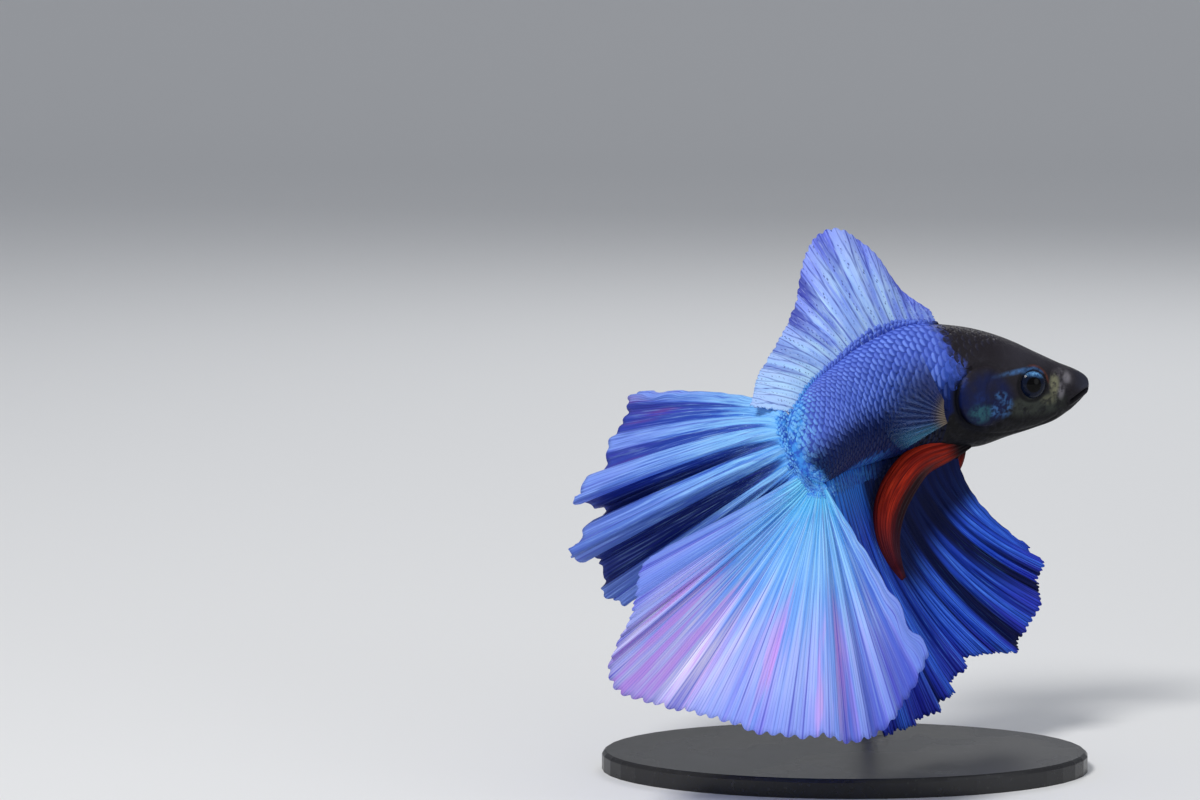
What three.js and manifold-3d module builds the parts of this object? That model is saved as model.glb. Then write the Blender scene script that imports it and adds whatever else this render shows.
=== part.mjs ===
// A life-size male halfmoon betta (Siamese fighting fish) turning in a C-shaped bend, held by a
// thin rod over a flat display base. Millimetres, +Z up, origin under the middle of the base.
// The snout points along +X, the back is up, and the bend brings the tail towards -Y.
import * as THREE from "three";
import { mergeVertices } from "three/addons/utils/BufferGeometryUtils.js";
import Module from "manifold-3d";

const wasm = await Module();
wasm.setup();

// ---- Driving dimensions ------------------------------------------------------------------

const FLESH_END = 49; // the rounded fleshy end of the tail stalk, inside the tail fin's root
const SNOUT = new THREE.Vector3(26.5, 15, 38);
const SEAM = 0.3; // clear gap between pieces that meet
const FIN_ROOT = 0.7; // fin thickness where it leaves the body
const FIN_MARGIN = 0.5; // fin thickness at its free edge

const BASE = { long: 50, deep: 28, thick: 2, bevel: 0.4 };
const ROD = { radius: 0.8, collar: 2, collarHeight: 1.2, station: 23.5, aside: 2.4 };

// Body sections: station from the snout, height of the back and depth of the belly from the
// back bone line, and half width.
const GIRTH = [
  [0, 0, 0, 0],
  [0.25, 0.85, 0.7, 0.7],
  [1.2, 1.65, 1.8, 1.25],
  [3.5, 2.6, 3.6, 2.1],
  [6, 3.7, 4.55, 2.75],
  [9, 5, 5.45, 3.4],
  [12, 5.95, 6.4, 3.8],
  [15, 6.55, 6.6, 3.95],
  [20, 7.1, 6.45, 3.9],
  [26, 6.4, 6.2, 3.5],
  [33, 5.2, 5.6, 2.8],
  [40, 4.75, 4.7, 2],
  [45, 4.2, 4.1, 1.3],
  [47.5, 3.5, 3.4, 0.9],
  [48.7, 1.9, 1.9, 0.5],
  [49, 0, 0, 0],
];

// Course of the back bone: station, turn towards -Y, dip of the tail and roll of the tail, in
// degrees. The tail stalk swings hard over and its end trails back again.
const COURSE = [
  [0, 8, 0, 0],
  [13, 18, -1, 0],
  [22, 40, 6, 1],
  [30, 60, 6, 9],
  [38, 74, 5, 19],
  [44, 70, 10, 22],
  [49, 46, 22, 22],
];

// Key rays of the unpaired fins: share of the free margin, share of the root, ray length,
// direction in the XZ plane (degrees, 0 along +X and 90 up), lean towards -Y (degrees), and
// height of the pleats.
const DORSAL_RAYS = [
  [0, 0, 2, 111, 0, 0],
  [0.07, 0.07, 3.9, 113, -7, 0.1],
  [0.16, 0.13, 8.1, 111, -7, 0.15],
  [0.23, 0.18, 11, 112, -8, 0.2],
  [0.29, 0.23, 12.9, 116, -9, 0.2],
  [0.35, 0.29, 12.5, 121, -9, 0.25],
  [0.4, 0.34, 11.3, 124, -10, 0.25],
  [0.47, 0.4, 9, 131, -13, 0.3],
  [0.54, 0.46, 7.5, 139, -14, 0.3],
  [0.62, 0.54, 6.6, 147, -8, 0.3],
  [0.72, 0.65, 6, 157, 0, 0.25],
  [0.87, 0.84, 5.6, 164, 10, 0.2],
  [1, 1, 4.9, 164, 16, 0],
];
const ANAL_RAYS = [
  [0, 0, 14, 305, -9, 0.1],
  [0.1, 0.1, 17.9, 312, -10, 0.6],
  [0.19, 0.2, 21.7, 312, -9, 0.8],
  [0.3, 0.32, 26.2, 304, -9, 0.9],
  [0.4, 0.42, 25.7, 302, -10, 0.9],
  [0.52, 0.52, 24.9, 298, -9, 0.9],
  [0.63, 0.62, 26.8, 294, -8, 0.9],
  [0.74, 0.72, 27.8, 292, -8, 0.8],
  [0.86, 0.84, 28.3, 287, -7, 0.6],
  [1, 1, 28.1, 283, -8, 0.2],
];
const TAIL_RAYS = [
  [0, 0, 22.6, 177, -51, 0],
  [0.02, 0.06, 24.3, 181, -50, 0.2],
  [0.045, 0.13, 25.3, 189, -49, 0.5],
  [0.08, 0.2, 26, 199, -42, 0.5],
  [0.12, 0.26, 27.2, 202, -32, 0.2],
  [0.16, 0.33, 28.4, 208, -43, 0],
  [0.205, 0.39, 26.6, 209, -20, 0],
  [0.25, 0.46, 29.4, 215, -37, 0],
  [0.29, 0.52, 28, 221, -28, 0],
  [0.34, 0.57, 25.5, 226, -32, 0],
  [0.41, 0.605, 19, 224, -24, 0],
  [0.49, 0.64, 15.6, 209, 8, 0],
  [0.53, 0.67, 18.9, 208, 13, 0.1],
  [0.56, 0.7, 21, 213, 15, 0.1],
  [0.6, 0.73, 23.4, 217, 15, 0.1],
  [0.645, 0.76, 27.3, 221, 14, 0.1],
  [0.67, 0.79, 28.9, 225, 16, 0.1],
  [0.71, 0.82, 28, 232, 22, 0.1],
  [0.765, 0.86, 27.8, 242, 32, 0.1],
  [0.815, 0.9, 28.5, 255, 38, 0.1],
  [0.86, 0.94, 28.3, 269, 39, 0.2],
  [0.91, 0.97, 27.6, 280, 32, 0.3],
  [0.96, 0.985, 23.7, 292, 26, 0.4],
  [1, 1, 20.1, 304, 22, 0],
];

// ---- Curves ------------------------------------------------------------------------------

// A smooth function through rows of [position, value, value, ...]: cubic pieces whose slope at
// each row follows its two neighbours.
function smoothThrough(rows) {
  const last = rows.length - 1;
  const slope = (row, column) => {
    const before = rows[Math.max(row - 1, 0)];
    const after = rows[Math.min(row + 1, last)];
    return (after[column] - before[column]) / (after[0] - before[0]);
  };
  return (position) => {
    const at = THREE.MathUtils.clamp(position, rows[0][0], rows[last][0]);
    const next = Math.max(1, rows.findIndex((row) => row[0] >= at));
    const [from, to] = [rows[next - 1], rows[next]];
    const span = to[0] - from[0];
    const t = (at - from[0]) / span;
    return from.slice(1).map((_, index) => {
      const column = index + 1;
      const rise = to[column] - from[column];
      const leave = slope(next - 1, column) * span;
      const arrive = slope(next, column) * span;
      const bend = leave + arrive - 2 * rise;
      return from[column] + t * (leave + t * (rise - leave - bend + t * bend));
    });
  };
}

const radians = THREE.MathUtils.degToRad;
const courseAt = smoothThrough(COURSE);
const girthAt = smoothThrough(GIRTH);

// The back bone as steps from the snout: place, direction to the tail, and the fish's own up
// and left.
const SPINE_STEP = 0.25;
const spine = [];
for (let place = SNOUT.clone(), station = 0; station <= FLESH_END + 1; station += SPINE_STEP) {
  const [turn, dip, roll] = courseAt(station).map(radians);
  const level = Math.cos(dip);
  const along = new THREE.Vector3(-Math.cos(turn) * level, -Math.sin(turn) * level, -Math.sin(dip));
  const left = new THREE.Vector3(-Math.sin(turn), Math.cos(turn), 0);
  const up = new THREE.Vector3().crossVectors(left, along).applyAxisAngle(along, roll);
  left.applyAxisAngle(along, roll);
  spine.push({ place: place.clone(), along, up, left });
  place.addScaledVector(along, SPINE_STEP);
}

function spineAt(station) {
  const step = THREE.MathUtils.clamp(station / SPINE_STEP, 0, spine.length - 2);
  const index = Math.floor(step);
  const share = step - index;
  const [from, to] = [spine[index], spine[index + 1]];
  const frame = {};
  for (const key of ["place", "along", "up", "left"]) {
    frame[key] = from[key].clone().lerp(to[key], share);
    if (key !== "place") frame[key].normalize();
  }
  return frame;
}

// A point of the body's skin. Around is 0 on the right flank, a quarter turn on the back.
const SECTION_POWER = 0.93; // under 1 fills the section out past an ellipse
function skinPoint(station, around, grow = 0) {
  const frame = spineAt(station);
  const [back, belly, width] = girthAt(station);
  const [side, height] = [Math.cos(around), Math.sin(around)];
  const rounded = (value) => Math.sign(value) * Math.abs(value) ** SECTION_POWER;
  const reach = (height > 0 ? back : belly) + grow;
  return frame.place
    .addScaledVector(frame.left, -rounded(side) * (width + grow))
    .addScaledVector(frame.up, rounded(height) * reach);
}

// ---- Solids ------------------------------------------------------------------------------

// A closed three.js geometry as a manifold-3d solid with its faces pointing out.
function toSolid(geometry) {
  const bare = geometry.clone();
  for (const name of ["normal", "uv"]) bare.deleteAttribute(name);
  const merged = mergeVertices(bare, 1e-4);
  const triVerts = new Uint32Array(merged.index.array);
  const make = () =>
    new wasm.Manifold(
      new wasm.Mesh({ numProp: 3, vertProperties: merged.attributes.position.array, triVerts }),
    );
  const made = make();
  if (made.volume() > 0) return made;
  for (let i = 0; i < triVerts.length; i += 3) {
    [triVerts[i + 1], triVerts[i + 2]] = [triVerts[i + 2], triVerts[i + 1]];
  }
  return make();
}

function toGeometry(solid) {
  const { numProp, vertProperties, triVerts } = solid.getMesh();
  const position = new Float32Array((vertProperties.length / numProp) * 3);
  for (let i = 0; i < position.length / 3; i += 1) {
    position.set(vertProperties.subarray(i * numProp, i * numProp + 3), i * 3);
  }
  const geometry = new THREE.BufferGeometry();
  geometry.setAttribute("position", new THREE.BufferAttribute(position, 3));
  geometry.setIndex(new THREE.BufferAttribute(new Uint32Array(triVerts), 1));
  geometry.computeVertexNormals();
  return geometry;
}

function largestPart(solid) {
  return solid.decompose().reduce((best, part) => (part.volume() > best.volume() ? part : best));
}

// Moves every vertex of a geometry with a function of its own position.
function reshape(geometry, move) {
  const position = geometry.attributes.position;
  const vertex = new THREE.Vector3();
  for (let i = 0; i < position.count; i += 1) {
    const moved = move(vertex.fromBufferAttribute(position, i));
    position.setXYZ(i, moved.x, moved.y, moved.z);
  }
  return geometry;
}

// The whole body as one closed form: a sphere whose poles are the snout and the end of the
// tail stalk. The stations crowd towards the head.
const AROUND_STEPS = 20;
const LENGTH_STEPS = 36;
function bodySolid(grow = 0) {
  const ball = new THREE.SphereGeometry(1, AROUND_STEPS, LENGTH_STEPS);
  reshape(ball, (vertex) => {
    const share = (1 - vertex.y) / 2;
    const around = Math.atan2(vertex.z, vertex.x);
    const station = FLESH_END * share ** 1.15;
    const atPole = share < 1e-6 || share > 1 - 1e-6;
    const point = skinPoint(station, around, atPole ? 0 : grow);
    const stretch = grow * (share - 0.5) * 2;
    return point.addScaledVector(spineAt(station).along, stretch);
  });
  return toSolid(ball);
}

// A slab across the back bone, for a thin cut.
function crossCut(station, size = 20) {
  const { place, along, up, left } = spineAt(station);
  const turn = new THREE.Matrix4().makeBasis(along, left, up).setPosition(place);
  return toSolid(new THREE.BoxGeometry(SEAM, size, size).applyMatrix4(turn));
}

// A sheet of the given thickness on both sides of a surface, closed all round. It can be put
// together from lengths that overlap by a column, so that two of its folds may meet.
function sheetSolid(columns, rows, surface, thicknessAt, { cuts = [], from = 0 } = {}) {
  const nudge = 1e-3;
  const lengthSolid = (first, last) => {
    const box = new THREE.BoxGeometry(1, 1, 1, last - first, rows, 1);
    reshape(box, (vertex) => {
      const column = first + Math.round((vertex.x + 0.5) * (last - first));
      const [u, v, face] = [column / columns, from + (1 - from) * (vertex.y + 0.5), vertex.z];
      const [left, right] = [surface(u - nudge, v), surface(u + nudge, v)];
      const [low, high] = [surface(u, v - nudge), surface(u, v + nudge)];
      const normal = right.sub(left).cross(high.sub(low)).normalize();
      return surface(u, v).addScaledVector(normal, face * thicknessAt(u, v));
    });
    return toSolid(box);
  };
  const ends = [...cuts, columns];
  return wasm.Manifold.union(
    [0, ...cuts].map((first, i) => lengthSolid(Math.max(0, first - 1), ends[i])),
  );
}

const finThickness = (u, v) => THREE.MathUtils.lerp(FIN_ROOT, FIN_MARGIN, Math.min(1, 1.6 * v));

// ---- Fins --------------------------------------------------------------------------------

// Unit direction from an angle in the XZ plane and a lean towards -Y.
function direction(fan, lean) {
  const [a, b] = [radians(fan), radians(lean)];
  return new THREE.Vector3(Math.cos(a) * Math.cos(b), -Math.sin(b), Math.sin(a) * Math.cos(b));
}

// The surface of an unpaired fin: each ray leaves the root along its own start direction and
// curves over to its key direction, and pleats grow towards the margin.
function raySurface({ rays, root, start, stiffness, pleats }) {
  const rayAt = smoothThrough(rays);
  const tip = (u) => {
    const [share, length, fan, lean] = rayAt(u);
    return root(share).addScaledVector(direction(fan, lean), length);
  };
  return (u, v) => {
    const nudge = 0.01;
    const [share, length, fan, lean, pleat] = rayAt(u);
    const foot = root(share);
    const middle = foot.clone().addScaledVector(start(share), length * stiffness);
    const across = tip(u + nudge).sub(tip(u - nudge));
    const out = across.cross(direction(fan, lean)).normalize();
    const wave = Math.cos(2 * Math.PI * pleats * u) * pleat * Math.max(0, (v - 0.15) / 0.85) ** 1.3;
    return foot
      .multiplyScalar((1 - v) ** 2)
      .addScaledVector(middle, 2 * v * (1 - v))
      .addScaledVector(tip(u), v * v)
      .addScaledVector(out, wave);
  };
}

const ROOT_DEPTH = 0.6; // how far a fin's root starts under the skin, before it is trimmed
const DORSAL_SPAN = [16.8, 44.4];
const ANAL_SPAN = [14.6, 44.5];
const alongSpan = ([from, to], share) => from + (to - from) * share;

function dorsalSurface() {
  return raySurface({
    rays: DORSAL_RAYS,
    root: (share) => skinPoint(alongSpan(DORSAL_SPAN, share), Math.PI / 2, -ROOT_DEPTH),
    start: (share) => {
      const { along, up } = spineAt(alongSpan(DORSAL_SPAN, share));
      return up.addScaledVector(along, 0.3 + 1.2 * share).normalize();
    },
    stiffness: 0.4,
    pleats: 9,
  });
}

function analSurface() {
  return raySurface({
    rays: ANAL_RAYS,
    root: (share) => skinPoint(alongSpan(ANAL_SPAN, share), -Math.PI / 2, -ROOT_DEPTH),
    start: (share) => {
      const { along, up } = spineAt(alongSpan(ANAL_SPAN, share));
      return up.negate().addScaledVector(along, 0.7 * share ** 2).normalize();
    },
    stiffness: 0.4,
    pleats: 9,
  });
}

// The tail fin's rays leave a half oval round the end of the tail stalk.
const TAIL_ROOT = { station: 46.8, half: 3.5, bulge: 2 };
function tailSurface() {
  const { place, along, up } = spineAt(TAIL_ROOT.station);
  const radial = (share, half, bulge) =>
    up
      .clone()
      .multiplyScalar(Math.cos(Math.PI * share) * half)
      .addScaledVector(along, Math.sin(Math.PI * share) * bulge);
  return raySurface({
    rays: TAIL_RAYS,
    root: (share) => radial(share, TAIL_ROOT.half, TAIL_ROOT.bulge).add(place),
    start: (share) => radial(share, 1, 1).setLength(1 - 0.8 * share),
    stiffness: 0.16,
    pleats: 26,
  });
}

// The pectoral fins: small clear fans behind the gill covers, spread away from the flank.
// side is 1 on the fish's left and -1 on its right.
const PECTORAL = { station: 18.3, height: -2.3, length: 14, root: 1.9, fan: 27, tilt: 19, flare: 26 };
function pectoralSurface(side) {
  const { place, along, up, left } = spineAt(PECTORAL.station);
  const out = left.clone().multiplyScalar(side);
  const [, , width] = girthAt(PECTORAL.station);
  const foot = place.addScaledVector(up, PECTORAL.height).addScaledVector(out, width * 0.86);
  return (u, v) => {
    const spread = radians(PECTORAL.tilt + PECTORAL.fan * (1 - 2 * u));
    const flare = radians(PECTORAL.flare);
    const reach = PECTORAL.length * (0.69 + 0.31 * Math.sin(Math.PI * Math.abs(u) ** 1.4)) * v;
    const level = Math.cos(spread) * Math.cos(flare);
    return foot
      .clone()
      .addScaledVector(up, PECTORAL.root * (0.5 - u) + Math.sin(spread) * reach)
      .addScaledVector(along, level * reach)
      .addScaledVector(out, Math.sin(flare) * reach);
  };
}

// The pelvic fins: long narrow sickles that splay from the breast and sweep back. Each course
// has rows of share of the length, direction in the XZ plane and lean towards -Y.
const PELVIC = { station: 13.6, aside: 1.1, width: 3.6 };
const PELVIC_RIGHT = {
  side: -1,
  length: 24.4,
  course: [
    [0, 196, 36],
    [0.22, 193, 41],
    [0.38, 222, 44],
    [0.55, 236, 52],
    [0.72, 259, 54],
    [0.86, 285, 28],
    [1, 302, 10],
  ],
};
const PELVIC_LEFT = {
  side: 1,
  length: 20,
  course: [
    [0, 262, -38],
    [0.25, 235, -38],
    [0.5, 228, -34],
    [0.75, 256, -24],
    [1, 285, -12],
  ],
};
function pelvicSurface({ side, length, course }) {
  const courseOf = smoothThrough(course);
  const steps = 24;
  const { left } = spineAt(PELVIC.station);
  const belly = skinPoint(PELVIC.station, -Math.PI / 2, -0.8);
  const centres = [belly.addScaledVector(left, side * PELVIC.aside)];
  for (let i = 0; i < steps; i += 1) {
    const heading = direction(...courseOf((i + 0.5) / steps));
    centres.push(centres[i].clone().addScaledVector(heading, length / steps));
  }
  const line = new THREE.CatmullRomCurve3(centres);
  return (u, v) => {
    const share = THREE.MathUtils.clamp(v, 0, 1);
    const tangent = line.getTangent(share);
    const broad = new THREE.Vector3(0, -1, 0).cross(tangent).normalize();
    const width = PELVIC.width * Math.sin(Math.PI * (0.08 + 0.88 * share)) ** 0.8;
    return line
      .getPoint(share)
      .addScaledVector(tangent, (v - share) * length)
      .addScaledVector(broad, (u - 0.5) * width);
  };
}

// ---- Assembly ----------------------------------------------------------------------------

const FINISH = {
  skin: { color: 0x3d46a8, roughness: 0.42, metalness: 0 },
  head: { color: 0x2a2426, roughness: 0.45, metalness: 0 },
  cheek: { color: 0x2b4a86, roughness: 0.35, metalness: 0 },
  eye: { color: 0x0c0f18, roughness: 0.08, metalness: 0 },
  fin: { color: 0x4a6be0, roughness: 0.45, metalness: 0 },
  tail: { color: 0x6c8cf0, roughness: 0.45, metalness: 0 },
  pectoral: { color: 0x9a9a86, roughness: 0.35, metalness: 0 },
  pelvic: { color: 0xa3281c, roughness: 0.45, metalness: 0 },
  base: { color: 0x1c1c1f, roughness: 0.35, metalness: 0 },
  rod: { color: 0x9b8456, roughness: 0.3, metalness: 1 },
};
const fish = new THREE.Group();
const stand = new THREE.Group();

function addPiece(group, name, finish, solid) {
  const material = new THREE.MeshStandardMaterial(FINISH[finish]);
  const mesh = new THREE.Mesh(toGeometry(largestPart(solid)), material);
  mesh.name = name;
  group.add(mesh);
}

const clearOfBody = bodySolid(SEAM);

// An upright prism in the fish's side view, from the back bone out past one flank.
function sidePrism(outline, station, side, from, to) {
  const { place, along, up, left } = spineAt(station);
  const out = left.clone().multiplyScalar(side);
  const prism = new THREE.ExtrudeGeometry(outline, {
    depth: to - from,
    bevelEnabled: false,
    curveSegments: 10,
  });
  prism.translate(0, 0, from);
  const turn = new THREE.Matrix4().makeBasis(along, up, out).setPosition(place);
  return toSolid(prism.applyMatrix4(turn));
}

// The flesh: one form, parted by thin cuts into head, lower jaw, two gill covers, trunk and
// tail stalk.
const EYE = { station: 7.2, height: 0.5, aside: 2.45, radius: 1.6, flat: 1.1 };
const GILL = { station: 12.9, height: -0.7, half: 3.8, tall: 3.2, lift: 1.1 };
const JAW = { cut: 5, gape: 2.4, slope: -32 };
const NECK_STATION = 17.4;
const STALK_STATION = 37;

function eyeBall(side, grow) {
  const { place, along, up, left } = spineAt(EYE.station);
  const ball = new THREE.SphereGeometry(1, 14, 8);
  ball.rotateX(Math.PI / 2);
  ball.scale(EYE.radius + grow, EYE.radius + grow, EYE.flat + grow);
  const out = left.clone().multiplyScalar(side);
  const turn = new THREE.Matrix4().makeBasis(along, up, out);
  place.addScaledVector(up, EYE.height).addScaledVector(out, EYE.aside);
  return toSolid(ball.applyMatrix4(turn.setPosition(place)));
}

function gillOutline(grow) {
  const outline = new THREE.Shape();
  outline.absellipse(0, GILL.height, GILL.half + grow, GILL.tall + grow, 0, 2 * Math.PI, false, -0.2);
  return outline;
}

function gillCover(side, body) {
  const far = 8;
  return body.intersect(sidePrism(gillOutline(0), GILL.station, side, GILL.lift + SEAM, far));
}

function gillPocket(side) {
  const far = 8;
  return sidePrism(gillOutline(SEAM), GILL.station, side, GILL.lift, far);
}

// The lower jaw is what lies under the short sloping gape, in front of the cheek.
function jawBlock(grow) {
  const fall = Math.tan(radians(JAW.slope)) * JAW.gape;
  const outline = new THREE.Shape();
  outline.moveTo(-2, 0.2 + grow);
  outline.lineTo(0, grow);
  outline.lineTo(JAW.gape + grow, fall + grow);
  outline.lineTo(JAW.cut + grow, -6);
  outline.lineTo(-2, -6);
  outline.closePath();
  return sidePrism(outline, 0, 1, -6, 6);
}

function buildFlesh() {
  const body = bodySolid();
  const parts = body.subtract(crossCut(NECK_STATION)).subtract(crossCut(STALK_STATION)).decompose();
  const tipOf = (part) => part.boundingBox().max[0];
  const [front, trunk, stalk] = parts.sort((a, b) => tipOf(b) - tipOf(a));
  let head = front;
  for (const side of [-1, 1]) {
    const name = side < 0 ? "right" : "left";
    addPiece(fish, `gill_cover_${name}`, "cheek", gillCover(side, front).subtract(eyeBall(side, SEAM)));
    head = head.subtract(gillPocket(side)).subtract(eyeBall(side, SEAM));
    addPiece(fish, `eye_${name}`, "eye", eyeBall(side, 0));
  }
  addPiece(fish, "lower_jaw", "head", head.intersect(jawBlock(0)));
  addPiece(fish, "head", "head", head.subtract(jawBlock(SEAM)));
  addPiece(fish, "trunk", "skin", trunk);
  addPiece(fish, "tail_stalk", "skin", stalk);
}

function buildFins() {
  const plans = [
    ["dorsal_fin", "fin", 32, 4, dorsalSurface()],
    ["anal_fin", "fin", 42, 5, analSurface()],
    ["tail_fin", "tail", 96, 5, tailSurface(), { cuts: [36], from: 0.06 }],
    ["pectoral_fin_right", "pectoral", 8, 4, pectoralSurface(-1)],
    ["pectoral_fin_left", "pectoral", 8, 4, pectoralSurface(1)],
    ["pelvic_fin_right", "pelvic", 3, 14, pelvicSurface(PELVIC_RIGHT)],
    ["pelvic_fin_left", "pelvic", 3, 14, pelvicSurface(PELVIC_LEFT)],
  ];
  for (const [name, finish, columns, rows, surface, joined] of plans) {
    const sheet = sheetSolid(columns, rows, surface, finThickness, joined);
    addPiece(fish, name, finish, sheet.subtract(clearOfBody));
  }
}

function buildStand() {
  const { long, deep, thick, bevel } = BASE;
  const profile = [
    [0, 0],
    [1, 0],
    [1, thick - bevel],
    [1 - bevel / long, thick - bevel / 3],
    [1 - (2 * bevel) / long, thick],
    [0, thick],
  ].map(([radius, up]) => new THREE.Vector2(radius, up));
  const plate = new THREE.LatheGeometry(profile, 48);
  plate.rotateX(Math.PI / 2);
  plate.scale(long / 2, deep / 2, 1);
  addPiece(stand, "stand_base", "base", toSolid(plate));

  const { place, left } = spineAt(ROD.station);
  const foot = place.addScaledVector(left, ROD.aside);
  const height = foot.z - thick;
  const turned = [
    [0, 0],
    [ROD.collar, 0],
    [ROD.collar, ROD.collarHeight - 0.3],
    [ROD.collar - 0.3, ROD.collarHeight],
    [ROD.radius, ROD.collarHeight],
    [ROD.radius, height],
    [0, height],
  ].map(([radius, up]) => new THREE.Vector2(radius, up));
  const rod = new THREE.LatheGeometry(turned, 16);
  rod.rotateX(Math.PI / 2);
  rod.translate(foot.x, foot.y, thick);
  addPiece(stand, "stand_rod", "rod", toSolid(rod).subtract(clearOfBody));
}

buildFlesh();
buildFins();
buildStand();

const part = new THREE.Group();
part.add(fish, stand);
export default part;
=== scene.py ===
"""Looks of a life-size male halfmoon betta, turning in a curve over an oval display base."""
import math
import random

import bmesh
import bpy
import numpy as np
from mathutils import Matrix, Vector


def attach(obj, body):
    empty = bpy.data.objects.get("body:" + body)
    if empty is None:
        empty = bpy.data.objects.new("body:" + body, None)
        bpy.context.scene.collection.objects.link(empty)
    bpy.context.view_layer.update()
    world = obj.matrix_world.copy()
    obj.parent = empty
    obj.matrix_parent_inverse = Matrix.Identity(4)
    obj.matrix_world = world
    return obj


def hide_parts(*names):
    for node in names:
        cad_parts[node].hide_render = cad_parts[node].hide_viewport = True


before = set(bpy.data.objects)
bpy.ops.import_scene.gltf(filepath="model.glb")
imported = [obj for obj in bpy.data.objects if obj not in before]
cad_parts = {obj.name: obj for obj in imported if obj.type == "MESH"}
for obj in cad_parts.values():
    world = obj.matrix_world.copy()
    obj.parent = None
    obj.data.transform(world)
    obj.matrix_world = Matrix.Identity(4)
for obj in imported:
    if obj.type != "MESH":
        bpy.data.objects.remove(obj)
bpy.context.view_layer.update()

# ---- Skin --------------------------------------------------------------------------------
# The flesh of the fish: head, jaw, gill covers, trunk and tail stalk under one unbroken skin.
# It is a ball drawn out along the curved back bone. The mouth, lips, nostrils, eye rims and
# gill covers stand out of it or are pressed into it.
MM = 0.001
COAT = 0.1  # the scales' depth, in millimetres, by which the skin lies inside the solids
FLESH_END = 49.0
SNOUT = (26.5, 15.0, 38.0)
# station from the snout, height of the back, depth of the belly, half width
GIRTH = [
    (0, 0, 0, 0),
    (0.25, 0.85, 0.7, 0.7),
    (1.2, 1.65, 1.8, 1.25),
    (3.5, 2.6, 3.6, 2.1),
    (6, 3.7, 4.55, 2.75),
    (9, 5, 5.45, 3.4),
    (12, 5.95, 6.4, 3.8),
    (15, 6.55, 6.6, 3.95),
    (20, 7.1, 6.45, 3.9),
    (26, 6.4, 6.2, 3.5),
    (33, 5.2, 5.6, 2.8),
    (40, 4.75, 4.7, 2),
    (45, 4.2, 4.1, 1.3),
    (47.5, 3.5, 3.4, 0.9),
    (48.7, 1.9, 1.9, 0.5),
    (49, 0, 0, 0),
]
# station, turn towards -Y, dip of the tail and roll of the tail, in degrees
COURSE = [
    (0, 8, 0, 0),
    (13, 18, -1, 0),
    (22, 40, 6, 1),
    (30, 60, 6, 9),
    (38, 74, 5, 19),
    (44, 70, 10, 22),
    (49, 46, 22, 22),
]


def smooth_through(rows):
    """A smooth curve of values through rows of (place, value, value, ...)."""
    table = np.array(rows, float)
    place, values = table[:, 0], table[:, 1:]
    ahead = np.minimum(np.arange(len(place)) + 1, len(place) - 1)
    behind = np.maximum(np.arange(len(place)) - 1, 0)
    slopes = (values[ahead] - values[behind]) / (place[ahead] - place[behind])[:, None]

    def curve(position):
        at = np.clip(position, place[0], place[-1])
        upper = np.clip(np.searchsorted(place, at), 1, len(place) - 1)
        span = (place[upper] - place[upper - 1])[..., None]
        t = (at - place[upper - 1])[..., None] / span
        rise = values[upper] - values[upper - 1]
        leave, arrive = slopes[upper - 1] * span, slopes[upper] * span
        bend = leave + arrive - 2 * rise
        at_t = values[upper - 1] + t * (leave + t * (rise - leave - bend + t * bend))
        return np.moveaxis(at_t, -1, 0)

    return curve


def unit(vectors):
    return vectors / np.linalg.norm(vectors, axis=-1, keepdims=True)


def smooth_step(low, high, value):
    t = np.clip((value - low) / (high - low), 0, 1)
    return t * t * (3 - 2 * t)


girth_at = smooth_through(GIRTH)
SPINE_STEP = 0.25


def lay_spine():
    """The back bone in short steps: place, direction to the tail, the fish's up and left."""
    course = smooth_through(COURSE)
    place, steps = np.array(SNOUT), []
    for station in np.arange(0, FLESH_END + 1 + SPINE_STEP / 2, SPINE_STEP):
        turn, dip, roll = np.radians(course(station))
        level = math.cos(dip)
        along = np.array(
            [-math.cos(turn) * level, -math.sin(turn) * level, -math.sin(dip)]
        )
        left = np.array([-math.sin(turn), math.cos(turn), 0])
        up = np.cross(left, along)
        rolled_up = up * math.cos(roll) + np.cross(along, up) * math.sin(roll)
        rolled_left = left * math.cos(roll) + np.cross(along, left) * math.sin(roll)
        steps.append((place, along, rolled_up, rolled_left))
        place = place + along * SPINE_STEP
    return [np.array(column) for column in zip(*steps)]


spine = lay_spine()


def spine_at(station):
    step = np.clip(np.asarray(station, float) / SPINE_STEP, 0, len(spine[0]) - 2)
    index = step.astype(int)
    share = (step - index)[..., None]
    place, *axes = [column[index] * (1 - share) + column[index + 1] * share for column in spine]
    return [place] + [unit(axis) for axis in axes]


def axes_at(station):
    """Place, direction to the tail, up and left at one station."""
    return [axis[0] for axis in spine_at(np.array([station]))]


def rounded(share):
    """Fills a round cross-section out a little towards a rounded box."""
    return np.sign(share) * np.abs(share) ** 0.93


def skin_point(station, around, grow=0.0):
    """A point of the skin. Around is 0 on the right flank and a quarter turn on the back."""
    place, _, up, left = spine_at(station)
    back, belly, width = girth_at(station)
    side, height = np.cos(around), np.sin(around)
    reach = np.where(height > 0, back, belly) + grow
    out = -(rounded(side) * (width + grow))[..., None] * left
    return place + out + (rounded(height) * reach)[..., None] * up


def height_at(station, around):
    """Height of a skin point above the back bone line, in millimetres."""
    back, belly, _ = girth_at(station)
    height = np.sin(around)
    return rounded(height) * np.where(height > 0, back, belly)


EYE = {"station": 7.2, "height": 0.5, "aside": 2.45, "radius": 1.6, "flat": 1.1}
GILL = {"station": 12.9, "height": -0.7, "half": 3.8, "tall": 3.2}
GAPE_CORNER = (2.4, -1.5)  # station and height of the corner of the mouth


def bump(value, centre, spread):
    return np.exp(-(((value - centre) / spread) ** 2))


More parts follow.
